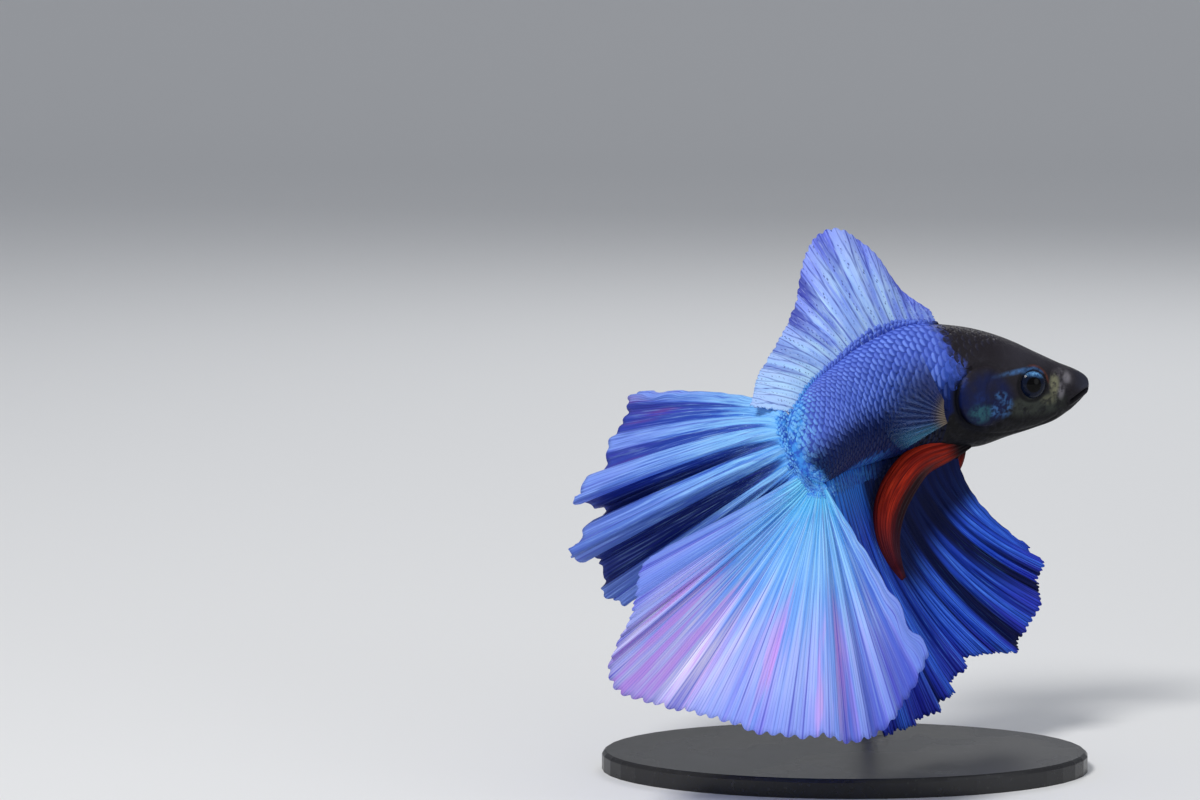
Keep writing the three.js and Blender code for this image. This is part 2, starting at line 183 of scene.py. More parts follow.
def head_relief(station, height):
    """How far the head's features stand out of the plain skin, in millimetres."""
    from_eye = np.hypot(station - EYE["station"], height - EYE["height"])
    socket = -1.1 * (1 - smooth_step(0.9, 1.5, from_eye)) + 0.1 * bump(from_eye, 1.68, 0.17)
    brow = 0.1 * bump(from_eye, 2.1, 0.4) * smooth_step(0, 1.5, height - EYE["height"])
    under_eye = -0.09 * bump(from_eye, 2.75, 0.16) * smooth_step(1, -1, height)

    along, across = station - GILL["station"], height - GILL["height"]
    edge = np.hypot(along / GILL["half"], across / GILL["tall"])
    behind = smooth_step(-2.5, 1.0, along)
    cover = 0.3 * smooth_step(-3.2, 3, along) * (1 - smooth_step(0.96, 1.02, edge))
    slit = -0.26 * bump(edge, 1.06, 0.045) * behind
    front_plate = np.hypot((along + 2.0) / 2.0, across / 3.0)
    plate_edge = -0.12 * bump(front_plate, 1.0, 0.07) * smooth_step(-0.8, 0.4, along + 2.0)
    throat = np.hypot((station - 10.5) / 7.5, (height + 1.6) / 3.3)
    throat_fold = -0.14 * bump(throat, 1.0, 0.035) * smooth_step(-2.6, -3.6, height)

    corner = np.array(GAPE_CORNER)
    share = np.clip((station * corner[0] + height * corner[1]) / (corner @ corner), 0, 1)
    from_gape = np.hypot(station - share * corner[0], height - share * corner[1])
    lips = 0.15 * bump(from_gape, 0.32, 0.16) - 0.34 * bump(from_gape, 0, 0.1)
    jaw = 0.08 * bump(from_gape, 1.0, 0.3) * smooth_step(-0.5, -1.5, height)

    nostril = np.hypot(station - 4.1, height - 1.5)
    tube = np.hypot(station - 3.2, height - 1.2)
    nose = -0.24 * bump(nostril, 0, 0.18) + 0.08 * bump(nostril, 0.32, 0.1)
    nose += 0.12 * bump(tube, 0, 0.2)
    head = socket + brow + under_eye + cover + slit + plate_edge + throat_fold
    return head + lips + jaw + nose


def lay_map(mesh, name, flat):
    """A UV map from one place for each vertex."""
    layer = mesh.uv_layers.new(name=name)
    loops = np.empty(len(mesh.loops), int)
    mesh.loops.foreach_get("vertex_index", loops)
    layer.data.foreach_set("uv", flat[loops].ravel().astype(np.float32))


def side_uv(mesh, name, stations, heights):
    """A UV map that holds each vertex's place in the fish's side view."""
    lay_map(mesh, name, np.stack([stations / 50, heights / 16 + 0.5], 1))


def add_piece(bm, name):
    mesh = bpy.data.meshes.new(name)
    bm.to_mesh(mesh)
    bm.free()
    piece = bpy.data.objects.new(name, mesh)
    bpy.context.collection.objects.link(piece)
    for polygon in mesh.polygons:
        polygon.use_smooth = True
    return piece


def move_vertices(vertices, points):
    """Puts vertices at points given in millimetres."""
    for vertex, point in zip(vertices, points):
        vertex.co = Vector(point) * MM


def face_outward(bm):
    """Turns a closed mesh's faces outward, also where its narrow ends mislead the recalculation."""
    bmesh.ops.recalc_face_normals(bm, faces=bm.faces[:])
    if bm.calc_volume(signed=True) < 0:
        bmesh.ops.reverse_faces(bm, faces=bm.faces[:])


def model_skin():
    bm = bmesh.new()
    bmesh.ops.create_uvsphere(bm, u_segments=176, v_segments=400, radius=1)
    ball = np.array([vertex.co[:] for vertex in bm.verts])
    share = np.arccos(np.clip(ball[:, 2], -1, 1)) / math.pi
    around = np.arctan2(ball[:, 1], ball[:, 0])
    # rings lie closer together over the head and at the end of the stalk
    station = FLESH_END * (share - 0.09 * np.sin(2 * math.pi * share)) ** 1.12
    height = height_at(station, around)
    relief = head_relief(station, height) * smooth_step(0, 0.5, station)
    inside = COAT * smooth_step(0, 1, station) * smooth_step(FLESH_END, FLESH_END - 1, station)
    move_vertices(bm.verts, skin_point(station, around, relief - inside))
    face_outward(bm)
    skin = add_piece(bm, "skin")
    side_uv(skin.data, "Side", station, height)
    return skin


class Nodes:
    """A material's node tree, with short ways to add what this fish needs."""

    def __init__(self, tree):
        self.tree = tree

    def fill(self, node, inputs):
        """Sets or links a node's inputs, given by name or number."""
        for key, value in inputs.items():
            socket = node.inputs[key]
            if isinstance(value, bpy.types.NodeSocket):
                self.tree.links.new(value, socket)
            elif isinstance(value, tuple) and socket.type == "RGBA":
                socket.default_value = (*value, 1)
            else:
                socket.default_value = value

    def add(self, kind, inputs, **settings):
        node = self.tree.nodes.new(kind)
        for key, value in settings.items():
            setattr(node, key, value)
        self.fill(node, inputs)
        return node

    def math(self, operation, first, second=0.0, third=0.0, clamp=False):
        inputs = {0: first, 1: second, 2: third}
        node = self.add("ShaderNodeMath", inputs, operation=operation, use_clamp=clamp)
        return node.outputs[0]

    def times(self, product, *others):
        for value in others:
            product = self.math("MULTIPLY", product, value)
        return product

    def plus(self, total, *others):
        for value in others:
            total = self.math("ADD", total, value)
        return total

    def line(self, value, slope, start):
        """Value times slope, plus start."""
        return self.math("MULTIPLY_ADD", value, slope, start)

    def reach(self, across, upward):
        """Distance of a place from the middle."""
        return self.math("SQRT", self.line(upward, upward, self.times(across, across)))

    def ramp(self, value, low, high, out_low=0.0, out_high=1.0):
        """A smooth step from low to high."""
        inputs = {"Value": value, "From Min": low, "From Max": high}
        inputs |= {"To Min": out_low, "To Max": out_high}
        node = self.add("ShaderNodeMapRange", inputs, interpolation_type="SMOOTHSTEP")
        return node.outputs[0]

    def mix(self, share, first, second):
        inputs = {0: share, 6: first, 7: second}
        return self.add("ShaderNodeMix", inputs, data_type="RGBA").outputs[2]

    def noise(self, vector, scale, detail):
        inputs = {"Vector": vector, "Scale": scale, "Detail": detail, "Roughness": 0.55}
        return self.add("ShaderNodeTexNoise", inputs).outputs["Fac"]

    def relief(self, height, strength, depth):
        inputs = {"Height": height, "Strength": strength, "Distance": depth}
        return self.add("ShaderNodeBump", inputs).outputs[0]

    def map(self, name):
        return self.add("ShaderNodeUVMap", {}, uv_map=name).outputs[0]

    def uv(self, name):
        return self.add("ShaderNodeSeparateXYZ", {0: self.map(name)}).outputs

    def place(self):
        return self.add("ShaderNodeTexCoord", {}).outputs["Object"]


class Paint:
    """Colours laid over one another, each as far as the product of its shares says."""

    def __init__(self, nodes, colour):
        self.nodes, self.colour = nodes, colour

    def over(self, colour, *shares):
        self.colour = self.nodes.mix(self.nodes.times(*shares), self.colour, colour)


def new_material(name):
    """A new material, its nodes and its shader."""
    material = bpy.data.materials.new(name)
    material.use_nodes = True
    tree = material.node_tree
    return material, Nodes(tree), tree.nodes["Principled BSDF"]


ROYAL = (0.04, 0.1, 0.5)
VIOLET_BACK = (0.065, 0.115, 0.56)
LILAC = (0.13, 0.2, 0.85)
STALK_BLUE = (0.06, 0.3, 0.85)
STALK_ROYAL = (0.03, 0.12, 0.6)
NAVY_BELLY_AND_SHADE = (0.001, 0.007, 0.065)
SOOT = (0.003, 0.003, 0.0045)
NAPE_BROWN = (0.017, 0.0145, 0.019)
CROWN_GREY = (0.036, 0.034, 0.045)
SNOUT_GREY = (0.1, 0.095, 0.11)
LIP_GREY = (0.21, 0.2, 0.225)
TIP_BLUE = (0.03, 0.032, 0.05)
CHEEK_TAN = (0.043, 0.05, 0.042)
OLIVE = (0.18, 0.18, 0.115)
RUST = (0.09, 0.03, 0.02)
GILL_NAVY = (0.007, 0.012, 0.06)
GILL_BLUE = (0.012, 0.03, 0.14)
GILL_SLIT_SHADE = (0.0015, 0.002, 0.007)
CHEEK_BLUE = (0.045, 0.13, 0.32)
CHEEK_TEAL = (0.03, 0.12, 0.15)
CROWN_BLUE = (0.06, 0.16, 0.38)
# colour, centre, half size, patchiness from and to, strength, softness
FACE_DAUBS = [
    (CHEEK_TAN, (7.6, -1.9), (3.2, 0.95), 0.3, 0.55, 0.9, 0.6),
    (CHEEK_TAN, (4.7, -1.4), (1.4, 1.0), 0.35, 0.6, 0.7, 0.6),
    (SNOUT_GREY, (3.4, 1.0), (1.1, 1.0), 0.36, 0.6, 0.55, 0.6),
    (LIP_GREY, (2.95, 1.1), (0.4, 0.5), 0.34, 0.54, 0.85, 0.9),
    (LIP_GREY, (3.7, -0.3), (0.42, 0.75), 0.38, 0.56, 0.75, 0.6),
    (LIP_GREY, (4.0, 1.75), (0.6, 0.32), 0.38, 0.56, 0.6, 0.6),
    (OLIVE, (4.5, 0.4), (0.55, 1.1), 0.36, 0.52, 0.95, 0.5),
    (OLIVE, (5.1, -1.2), (0.9, 0.5), 0.4, 0.58, 0.6, 0.6),
]
GILL_DAUBS = [
    (CHEEK_TEAL, (13.6, -2.4), (1.5, 0.9), 0.38, 0.58, 0.9, 0.5),
    (GILL_BLUE, (13.7, -0.9), (1.0, 0.8), 0.42, 0.62, 0.6, 0.5),
]
CHEEK_FLECKS = [((10.4, -1.8), (0.8, 1.0)), ((11.1, -0.55), (0.65, 0.38)), ((11.7, -2.2), (0.55, 0.7))]


def side_place(nodes):
    """Station and height in millimetres, from the side-view map."""
    side = nodes.uv("Side")
    return nodes.times(side[0], 50), nodes.line(side[1], 16, -8)


def flank_height(nodes, station, height):
    """Height, counted lower on the breast, where the dark belly reaches further up."""
    return nodes.math("SUBTRACT", height, nodes.ramp(station, 27, 21, 0, 1.3))


def stalk_place(nodes, station, height):
    """Station, counted further back above and below, where the tail fin's base is nearer."""
    above = nodes.plus(height, 0.7)
    return nodes.line(nodes.times(above, above), 0.18, station)


def spot(nodes, station, height, centre, size, soft):
    """1 inside an oval patch of the side view, fading out at its edge."""
    across = nodes.math("DIVIDE", nodes.plus(station, -centre[0]), size[0])
    upward = nodes.math("DIVIDE", nodes.plus(height, -centre[1]), size[1])
    return nodes.ramp(nodes.reach(across, upward), 1 + soft, 1 - soft)


def head_markings(nodes, station, height, blotch, fine):
    """Brown-black nape and throat, tan cheek, blue spots, gold by the eye, grey lips."""
    ramp, times = nodes.ramp, nodes.times
    patchy = nodes.noise(nodes.place(), 1150, 3)
    mottle = nodes.noise(nodes.place(), 2300, 2)
    low = nodes.line(blotch, 2.4, nodes.plus(height, -1.2))
    head = Paint(nodes, nodes.mix(ramp(low, -2.6, 0.6), SOOT, NAPE_BROWN))
    head.over(CROWN_GREY, ramp(low, 1.2, 3.6), ramp(station, 12.5, 8), 0.8)
    head.over(CROWN_GREY, ramp(fine, 0.45, 0.75, 0, 0.3))
    head.over(TIP_BLUE, ramp(station, 2.6, 0.6), ramp(height, -0.8, 0.2))

    def daub(rows):
        for colour, centre, size, low, high, share, soft in rows:
            shape = spot(nodes, station, height, centre, size, soft)
            head.over(colour, shape, ramp(patchy, low, high, 0.12, share))

    daub(FACE_DAUBS)
    ahead = nodes.math("SUBTRACT", EYE["station"], station)
    above = nodes.plus(height, -EYE["height"])
    from_eye = nodes.reach(ahead, above)
    head.over(SOOT, ramp(from_eye, 1.5, 1.65), ramp(from_eye, 2.1, 1.8), 0.8)
    lid = times(ramp(from_eye, 1.72, 1.86), ramp(from_eye, 2.12, 1.95))
    lid_end = ramp(nodes.line(ahead, 0.7, above), 1.2, 1.8)
    head.over(RUST, lid, lid_end, ramp(mottle, 0.3, 0.6, 0.3, 0.9))

    cover = spot(nodes, station, height, (13.1, -1.0), (3.4, 2.8), 0.25)
    head.over(GILL_NAVY, cover, ramp(blotch, 0.3, 0.6, 0.4, 1))
    daub(GILL_DAUBS)
    fleck = times(ramp(mottle, 0.38, 0.6), ramp(patchy, 0.35, 0.55, 0.4, 1))
    for centre, size in CHEEK_FLECKS:
        head.over(CHEEK_BLUE, spot(nodes, station, height, centre, size, 0.6), fleck)

    arch = nodes.line(nodes.plus(station, -9.0), 0.17, height)
    streak = spot(nodes, station, arch, (9.6, 1.9), (1.9, 0.22), 0.9)
    streak = times(streak, ramp(station, 11.6, 8.4, 0.35, 1))
    lash = times(ramp(from_eye, 1.95, 1.65), ramp(above, 0.9, 1.5, 0, 0.8))
    blue = nodes.math("MAXIMUM", streak, lash)
    head.over(CROWN_BLUE, blue, ramp(mottle, 0.3, 0.6, 0.3, 0.95))
    return head.colour


def gill_slit_shade(nodes, station, height):
    """1 where shadow is painted just behind the gill cover's round edge."""
    ramp = nodes.ramp
    away = nodes.math("DIVIDE", nodes.plus(station, -GILL["station"]), GILL["half"])
    rise = nodes.math("DIVIDE", nodes.plus(height, -GILL["height"]), GILL["tall"])
    edge = nodes.reach(away, rise)
    band = nodes.times(ramp(edge, 0.97, 1.02), ramp(edge, 1.34, 1.16))
    return nodes.times(band, ramp(height, 2.2, 0.4), ramp(away, -0.3, 0.3))


def fish_markings(nodes):
    """The colours that skin and scales share, laid out on the fish's side view."""
    ramp = nodes.ramp
    station, height = side_place(nodes)
    blotch = nodes.noise(nodes.place(), 420, 4)
    fine = nodes.noise(nodes.place(), 1500, 3)
    wander = nodes.line(blotch, 2.4, -1.2)

    # trunk: violet back, royal flank, navy lower half, partly own colour and partly painted shade, sky
    # blue stalk end and belly edge
    body = Paint(nodes, nodes.mix(ramp(height, 0.5, 5.5), ROYAL, VIOLET_BACK))
    body.over(LILAC, ramp(station, 24, 44, 0, 0.45))
    body.over(LILAC, ramp(fine, 0.4, 0.75, 0, 0.35))
    # navy lower half: partly the fish's own colour, partly painted shade of the down-facing lower
    # flank and of the body's rear curving away
    low = flank_height(nodes, station, nodes.line(wander, 0.35, height))
    body.over(NAVY_BELLY_AND_SHADE, ramp(low, 1.3, -1.6))
    edge = nodes.times(ramp(height, -4.6, -5.1), ramp(station, 25, 31), 0.5)
    ending = stalk_place(nodes, nodes.line(wander, 0.7, station), height)
    light = nodes.math("MAXIMUM", ramp(ending, 46.7, 48.3), edge)
    body.over(nodes.mix(ramp(fine, 0.4, 0.6), STALK_BLUE, STALK_ROYAL), light)

    # the blue begins behind the head on a ragged line, and later under the gill covers
    head = head_markings(nodes, station, height, blotch, fine)
    ragged = nodes.line(fine, 1.8, -0.9)
    nape = ramp(height, 2.2, 5.2, 0, -1.5)
    throat = ramp(height, -1.2, -4.4, 0, -6.5)
    neck = nodes.plus(station, ragged, wander, nape, throat)
    fish = Paint(nodes, nodes.mix(ramp(neck, 15.0, 16.9), head, body.colour))
    # painted shadow just behind the gill cover's edge
    fish.over(GILL_SLIT_SHADE, gill_slit_shade(nodes, station, height))
    return fish.colour


def skin_material():
    material, nodes, shader = new_material("wet skin")
    fine = nodes.noise(nodes.place(), 2600, 3)
    pores = nodes.noise(nodes.place(), 900, 4)
    inputs = {
        "Base Color": fish_markings(nodes),
        "Roughness": nodes.ramp(fine, 0.3, 0.7, 0.4, 0.58),
        "Specular IOR Level": 0.1,
        "Coat Weight": 0.03,
        "Coat Roughness": 0.3,
        "Normal": nodes.relief(nodes.line(pores, 1.5, fine), 0.55, 0.00012),
    }
    nodes.fill(shader, inputs)
    return material


skin = model_skin()
skin.data.materials.append(skin_material())
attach(skin, "root")
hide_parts("head", "lower_jaw", "gill_cover_right", "gill_cover_left", "trunk", "tail_stalk")

# ---- Scales ------------------------------------------------------------------------------
# Overlapping round-edged scales over trunk and nape, and smaller, less even ones over the tail
# stalk, in rings that run on to the base of the tail fin. Each is a thin domed plate of bone
# in the skin, rooted at its front edge.
SCALE_ROWS = 31  # all the way round the body
SCALE_STEP = 0.76  # from one ring to the next, in millimetres
SCALE_FROM, SCALE_TO = 10.4, 44.9
ROW_ANGLE = 2 * math.pi / SCALE_ROWS
STALK_ROWS, STALK_STEP, STALK_TO = 46, 0.42, 48.75
SCALE_LENGTH, SCALE_VARY = 1.24, 0.1
# length against the trunk's, half width in rows, stray round the body and towards the tail
TRUNK_SCALE = (1, 0.62, 0.025, 0)
STALK_SCALE = (0.72, 0.55, 0.09, 3.04)
PLATE = 0.00004  # a scale's thickness, in metres
BAKE_PATCH = 0.003  # a scale's share of the bake map


def scale_roots():
    """Station, angle and kind of each scale, ring by ring; small ones on the stalk."""
    rings = int((SCALE_TO - SCALE_FROM) / SCALE_STEP) + 1
    for ring in range(rings):
        station = SCALE_FROM + ring * SCALE_STEP
        for row in range(SCALE_ROWS):
            around = (row + 0.5 * (ring % 2)) * ROW_ANGLE - math.pi / 2
            height = float(height_at(np.array(station), np.array(around)))
            slant = 0.5 * abs(math.cos(around)) * smooth_step(0, 6, abs(height))
            on_nape = height > 2.4 + 0.45 * (15 - station)
            if station > 17.2 - 0.1 * height or on_nape:
                yield station + slant, around, TRUNK_SCALE
    rings = int((STALK_TO - SCALE_TO) / STALK_STEP) + 1
    for ring in range(rings):
        station = SCALE_TO + 0.3 + ring * STALK_STEP
        for row in range(STALK_ROWS):
            around = (row + 0.5 * (ring % 2)) / STALK_ROWS * 2 * math.pi
            yield station, around, STALK_SCALE


class Coat:
    """Gathers small plates, and the maps that say where each of them grows."""

    def __init__(self):
        self.bm = bmesh.new()
        self.side, self.own, self.bake = [], [], []

    def plate(self):
        """A new flat plate, with its vertices' places across and towards the free edge."""
        made = bmesh.ops.create_grid(self.bm, x_segments=4, y_segments=4, size=1)["verts"]
        flat = np.array([vertex.co[:2] for vertex in made])
        return made, flat[:, 0], flat[:, 1] * 0.5 + 0.5

    def place(self, plate, points, station, height, around):
        made, across, back = plate
        move_vertices(made, points)
        unwrap = np.array([station / 50, (around + math.pi) / (2 * math.pi) % 1])
        within = np.stack([back - 0.5, across / 2], 1) * BAKE_PATCH
        self.side.append(np.full((len(made), 2), (station, height)))
        self.own.append(np.stack([across / 2 + 0.5, back], 1))
        self.bake.append(0.02 + 0.96 * unwrap + within)

    def finish(self, name):
        bmesh.ops.recalc_face_normals(self.bm, faces=self.bm.faces[:])
        coat = add_piece(self.bm, name)
        side = np.concatenate(self.side)
        side_uv(coat.data, "Side", side[:, 0], side[:, 1])
        lay_map(coat.data, "Scale", np.concatenate(self.own))
        lay_map(coat.data, "OFBake", np.concatenate(self.bake))
        shell = coat.modifiers.new("plate", "SOLIDIFY")
        shell.thickness = PLATE
        shell.offset = 0
        coat.data.materials.append(scale_finish)
        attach(coat, "root")


def round_edge(across, back):
    """Draws a square plate's free edge round and its root narrow."""
    end = back * (1 - 0.3 * across**2) - 0.1 * (1 - back)
    side = across * (0.72 + 0.28 * np.sin(math.pi * np.clip(back * 0.75 + 0.1, 0, 1)))
    return side, end


def lay_body_scales():
    rng = random.Random(7)
    coat = Coat()
    for station, around, (shrink, width, astray, backward) in scale_roots():
        plate = coat.plate()
        _, across, back = plate
        side, end = round_edge(across, back)
        length = (SCALE_LENGTH + SCALE_VARY * rng.random()) * shrink
        stray = astray * rng.uniform(-1, 1)
        at = station + (end - 0.2) * length + backward * abs(stray)
        angle = around + side * width * ROW_ANGLE + stray
        # scales lie flatter on the nape; they slope up to the free edge, and are domed there
        rise = 0.25 + 0.55 * smooth_step(15, 19, station)
        slope, dome = 0.045 * back, 0.012 * (1 - across**2) * back
        lift = -COAT - 0.03 + (slope + dome) * rise
        points = skin_point(np.clip(at, 0, FLESH_END - 0.05), angle, lift)
        coat.place(plate, points, station, float(height_at(station, around)), around)
    coat.finish("scales")


def scale_material():
    """Skin colours with a light crescent near each scale's free edge and a dark root."""
    material, nodes, shader = new_material("scale")
    ramp, times = nodes.ramp, nodes.times
    own = nodes.uv("Scale")
    across = nodes.line(own[0], 2, -1)
    bow = nodes.line(times(across, across), -0.18, own[1])
    crescent = times(ramp(bow, 0.58, 0.72), ramp(bow, 1.06, 0.9))
    crescent = times(crescent, ramp(nodes.math("ABSOLUTE", across), 0.95, 0.6))
    station, height = side_place(nodes)
    ending = stalk_place(nodes, station, height)
    flank = ramp(flank_height(nodes, station, height), -2.2, 1.6, 0.06, 1)
    flank = nodes.math("MAXIMUM", flank, ramp(ending, 46.7, 48.3, 0, 0.9))
    behind_head = ramp(station, 16.6, 19.5, 0.02, 1)
    each = nodes.noise(nodes.map("Side"), 90, 0)
    paint = Paint(nodes, fish_markings(nodes))
    glow = times(crescent, flank, behind_head, ramp(each, 0.3, 0.7, 0.35, 0.85))
    paint.over(nodes.mix(ramp(ending, 43, 48), (0.2, 0.33, 0.98), (0.2, 0.55, 1.0)), glow)
    root = times(ramp(bow, 0.62, 0.42), ramp(height, -2.5, 1, 0.1, 0.4))
    paint.over((0.012, 0.045, 0.3), root, behind_head, ramp(ending, 45, 47.5, 1, 0.2))
    rings = nodes.add(
        "ShaderNodeTexWave",
        {"Vector": nodes.map("Scale"), "Scale": 3.0, "Distortion": 1.0},
        bands_direction="Y",
    )
    inputs = {
        "Base Color": paint.colour,
        "Roughness": ramp(nodes.noise(nodes.place(), 3800, 2), 0.3, 0.7, 0.38, 0.55),
        "Specular IOR Level": 0.06,
        "Coat Weight": 0.02,
        "Coat Roughness": 0.3,
        "Normal": nodes.relief(rings.outputs["Fac"], 0.15, 0.00003),
    }
    nodes.fill(shader, inputs)
    return material


scale_finish = scale_material()
lay_body_scales()

# ---- Eyes --------------------------------------------------------------------------------
# Glossy dark eyes set in the skin's rims: a wide black pupil, a dark iris and a light blue
# crescent along the iris's upper edge. Each is one domed lens, flatter than a ball.


def model_eye(name, side):
    place, along, up, left = axes_at(EYE["station"])
    out = left * side
    centre = place + up * EYE["height"] + out * EYE["aside"]
    bm = bmesh.new()
    bmesh.ops.create_uvsphere(bm, u_segments=64, v_segments=48, radius=1)
    ball = np.array([vertex.co[:] for vertex in bm.verts])
    cornea = 0.06 * bump(np.hypot(ball[:, 0], ball[:, 1]), 0, 0.5) * (ball[:, 2] > 0)
    dome = ball[:, 2] * EYE["flat"] + cornea
    points = (
        centre
        + (ball[:, 0] * EYE["radius"])[:, None] * along
        + (ball[:, 1] * EYE["radius"])[:, None] * up
        + dome[:, None] * out
    )
    move_vertices(bm.verts, points)
    face_outward(bm)
    eye = add_piece(bm, name)
    lay_map(eye.data, "Face", ball[:, :2] * 0.5 + 0.5)
    return eye


def eye_material():
    material, nodes, shader = new_material("eye")
    ramp = nodes.ramp
    face = nodes.uv("Face")
    across = nodes.line(face[0], 2, -1)
    upward = nodes.line(face[1], 2, -1)
    reach = nodes.reach(across, upward)
    grain = nodes.noise(nodes.place(), 5200, 3)
    paint = Paint(nodes, nodes.mix(grain, (0.002, 0.003, 0.008), (0.006, 0.012, 0.035)))
    ring = nodes.times(ramp(reach, 0.44, 0.6), ramp(reach, 0.9, 0.78))
    lit = ramp(nodes.line(across, -0.12, upward), 0.42, 0.8)
    blue = nodes.mix(ramp(grain, 0.35, 0.65), (0.03, 0.1, 0.28), (0.14, 0.36, 0.66))
    paint.over(blue, ring, lit)
    paint.over((0.0008, 0.0008, 0.001), ramp(reach, 0.54, 0.46))
    inputs = {"Base Color": paint.colour, "Roughness": 0.12, "Specular IOR Level": 0.12}
    nodes.fill(shader, inputs)
    return material


eye_finish = eye_material()
for side, word in ((-1, "right"), (1, "left")):
    eye = model_eye(f"eye_lens_{word}", side)
    eye.data.materials.append(eye_finish)
    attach(eye, "root")
    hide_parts(f"eye_{word}")

# ---- Tail fin ----------------------------------------------------------------------------
# The great half-moon tail fin: a thin skin on branching bony rays, folded deep in its upper
# half and hanging like a skirt in its lower half. Rays split twice on their way to the margin.
# Key rays: share of the margin, share of the root, length, direction in the XZ plane, lean
# towards -Y, height of the pleats.
TAIL_RAYS = [
    (0, 0, 22.6, 177, -51, 0),
    (0.02, 0.06, 24.3, 181, -50, 0.2),
    (0.045, 0.13, 25.3, 189, -49, 0.5),
    (0.08, 0.2, 26, 199, -42, 0.5),
    (0.12, 0.26, 27.2, 202, -32, 0.2),
    (0.16, 0.33, 28.4, 208, -43, 0),
    (0.205, 0.39, 26.6, 209, -20, 0),
    (0.25, 0.46, 29.4, 215, -37, 0),
    (0.29, 0.52, 28, 221, -28, 0),
    (0.34, 0.57, 25.5, 226, -32, 0),
    (0.41, 0.605, 19, 224, -24, 0),
    (0.49, 0.64, 15.6, 209, 8, 0),
    (0.53, 0.67, 18.9, 208, 13, 0.1),
    (0.56, 0.7, 21, 213, 15, 0.1),
    (0.6, 0.73, 23.4, 217, 15, 0.1),
    (0.645, 0.76, 27.3, 221, 14, 0.1),
    (0.67, 0.79, 28.9, 225, 16, 0.1),
    (0.71, 0.82, 28, 232, 22, 0.1),
    (0.765, 0.86, 27.8, 242, 32, 0.1),
    (0.815, 0.9, 28.5, 255, 38, 0.1),
    (0.86, 0.94, 28.3, 269, 39, 0.2),
    (0.91, 0.97, 27.6, 280, 32, 0.3),
    (0.96, 0.985, 23.7, 292, 26, 0.4),
    (1, 1, 20.1, 304, 22, 0),
]
TAIL_ROOT = {"station": 46.8, "half": 3.5, "bulge": 2.0}


def heading(fan, lean):
    """Unit direction from an angle in the XZ plane and a lean towards -Y, in degrees."""
    a, b = np.radians(fan), np.radians(lean)
    return np.stack([np.cos(a) * np.cos(b), -np.sin(b), np.sin(a) * np.cos(b)], -1)


def uneven_folds(seed, count, heights):
    """Smooth uneven folds across a fin. Heights are rows of share of the margin, height."""
    rng = np.random.default_rng(seed)
    place = np.linspace(0, 1, count + 1)
    place[1:-1] += rng.uniform(-0.3, 0.3, count - 1) / count
    swing = rng.uniform(0.4, 1, count + 1) * (-1.0) ** np.arange(count + 1)
    folds = smooth_through(np.stack([place, swing], 1))
    return lambda u: folds(u)[0] * np.interp(u, *np.transpose(heights))


def ray_surface(rays, root, start, stiffness, pleats, folds):
    """A fin's middle surface, as a function of the share of the margin and of the ray."""
    ray_at = smooth_through(rays)

    def tip(u):
        share, length, fan, lean = ray_at(u)[:4]
        return root(share) + heading(fan, lean) * length[..., None]

    def surface(u, v):
        share, length, fan, lean, pleat = ray_at(u)
        foot = root(share)
        middle = foot + start(share) * (length * stiffness)[..., None]
        out = unit(np.cross(tip(u + 0.01) - tip(u - 0.01), heading(fan, lean)))
        grown = np.maximum((v - 0.15) / 0.85, 0) ** 1.3
        wave = (np.cos(2 * math.pi * pleats * u) * pleat + folds(u)) * grown
        w = v[..., None]
        curve = foot * (1 - w) ** 2 + middle * 2 * w * (1 - w) + tip(u) * w * w
        return curve + out * wave[..., None]

    return surface


def tail_surface():
    place, along, up, _ = axes_at(TAIL_ROOT["station"])

    def radial(share, half, bulge):
        turn = math.pi * share
        return np.cos(turn)[..., None] * up * half + np.sin(turn)[..., None] * along * bulge

    def root(share):
        return place + radial(share, TAIL_ROOT["half"], TAIL_ROOT["bulge"])

    def start(share):
        return unit(radial(share, 1, 1)) * (1 - 0.8 * share)[..., None]

    heights = [(0, 0.2), (0.05, 0.4), (0.42, 0.42), (0.5, 0.1), (0.9, 0.12), (0.95, 0.3), (1, 0.2)]
    small = [(0, 0.06), (0.05, 0.13), (0.42, 0.13), (0.5, 0.03), (0.9, 0.03), (1, 0.06)]
    broad_folds, fine_folds = uneven_folds(21, 74, heights), uneven_folds(22, 190, small)
    return ray_surface(
        TAIL_RAYS, root, start, 0.16, 26, lambda u: broad_folds(u) + fine_folds(u)
    )


def ray_fold(u, v, count, splits):
    """Distance from the nearest ray, in ray gaps, where rays split at the given shares."""
    place = np.abs(u * count - np.floor(u * count) - 0.5)
    for order, (begins, ends) in enumerate(splits):
        place = np.abs(place - 0.25 / 2**order * smooth_step(begins, ends, v))
    return place


def fin_grid(name, columns, rows, shape):
    """A flat grid of shares across and along a fin. Shape(u, v) bends it and gives the painted light
    and shade of its folds.
    """
    bm = bmesh.new()
    bmesh.ops.create_grid(bm, x_segments=columns, y_segments=rows, size=0.5)
    flat = np.array([vertex.co[:2] for vertex in bm.verts]) + 0.5
    points, fold_shading = shape(flat[:, 0], flat[:, 1])
    move_vertices(bm.verts, points)
    bmesh.ops.recalc_face_normals(bm, faces=bm.faces[:])
    fin = add_piece(bm, name)
    lay_map(fin.data, "Rays", flat)
    lay_map(fin.data, "FoldShading", np.stack([fold_shading, flat[:, 1]], 1))
    return fin


def right_normal(surface, u, v):
    """The surface's normal on the fish's right side."""
    step = 0.002
    across = surface(np.minimum(u + step, 1), v) - surface(np.maximum(u - step, 0), v)
    outward = surface(u, v + step) - surface(u, v - step)
    normal = unit(np.cross(across, outward))
    return normal if normal[:, 1].mean() < 0 else -normal


def stands_out(surface, u, v, normal, gap):
    """How far a fold's crest stands out from the places a gap to either side, in millimetres."""
    beside = (surface(np.maximum(u - gap, 0), v) + surface(np.minimum(u + gap, 1), v)) / 2
    return ((surface(u, v) - beside) * normal).sum(axis=1)


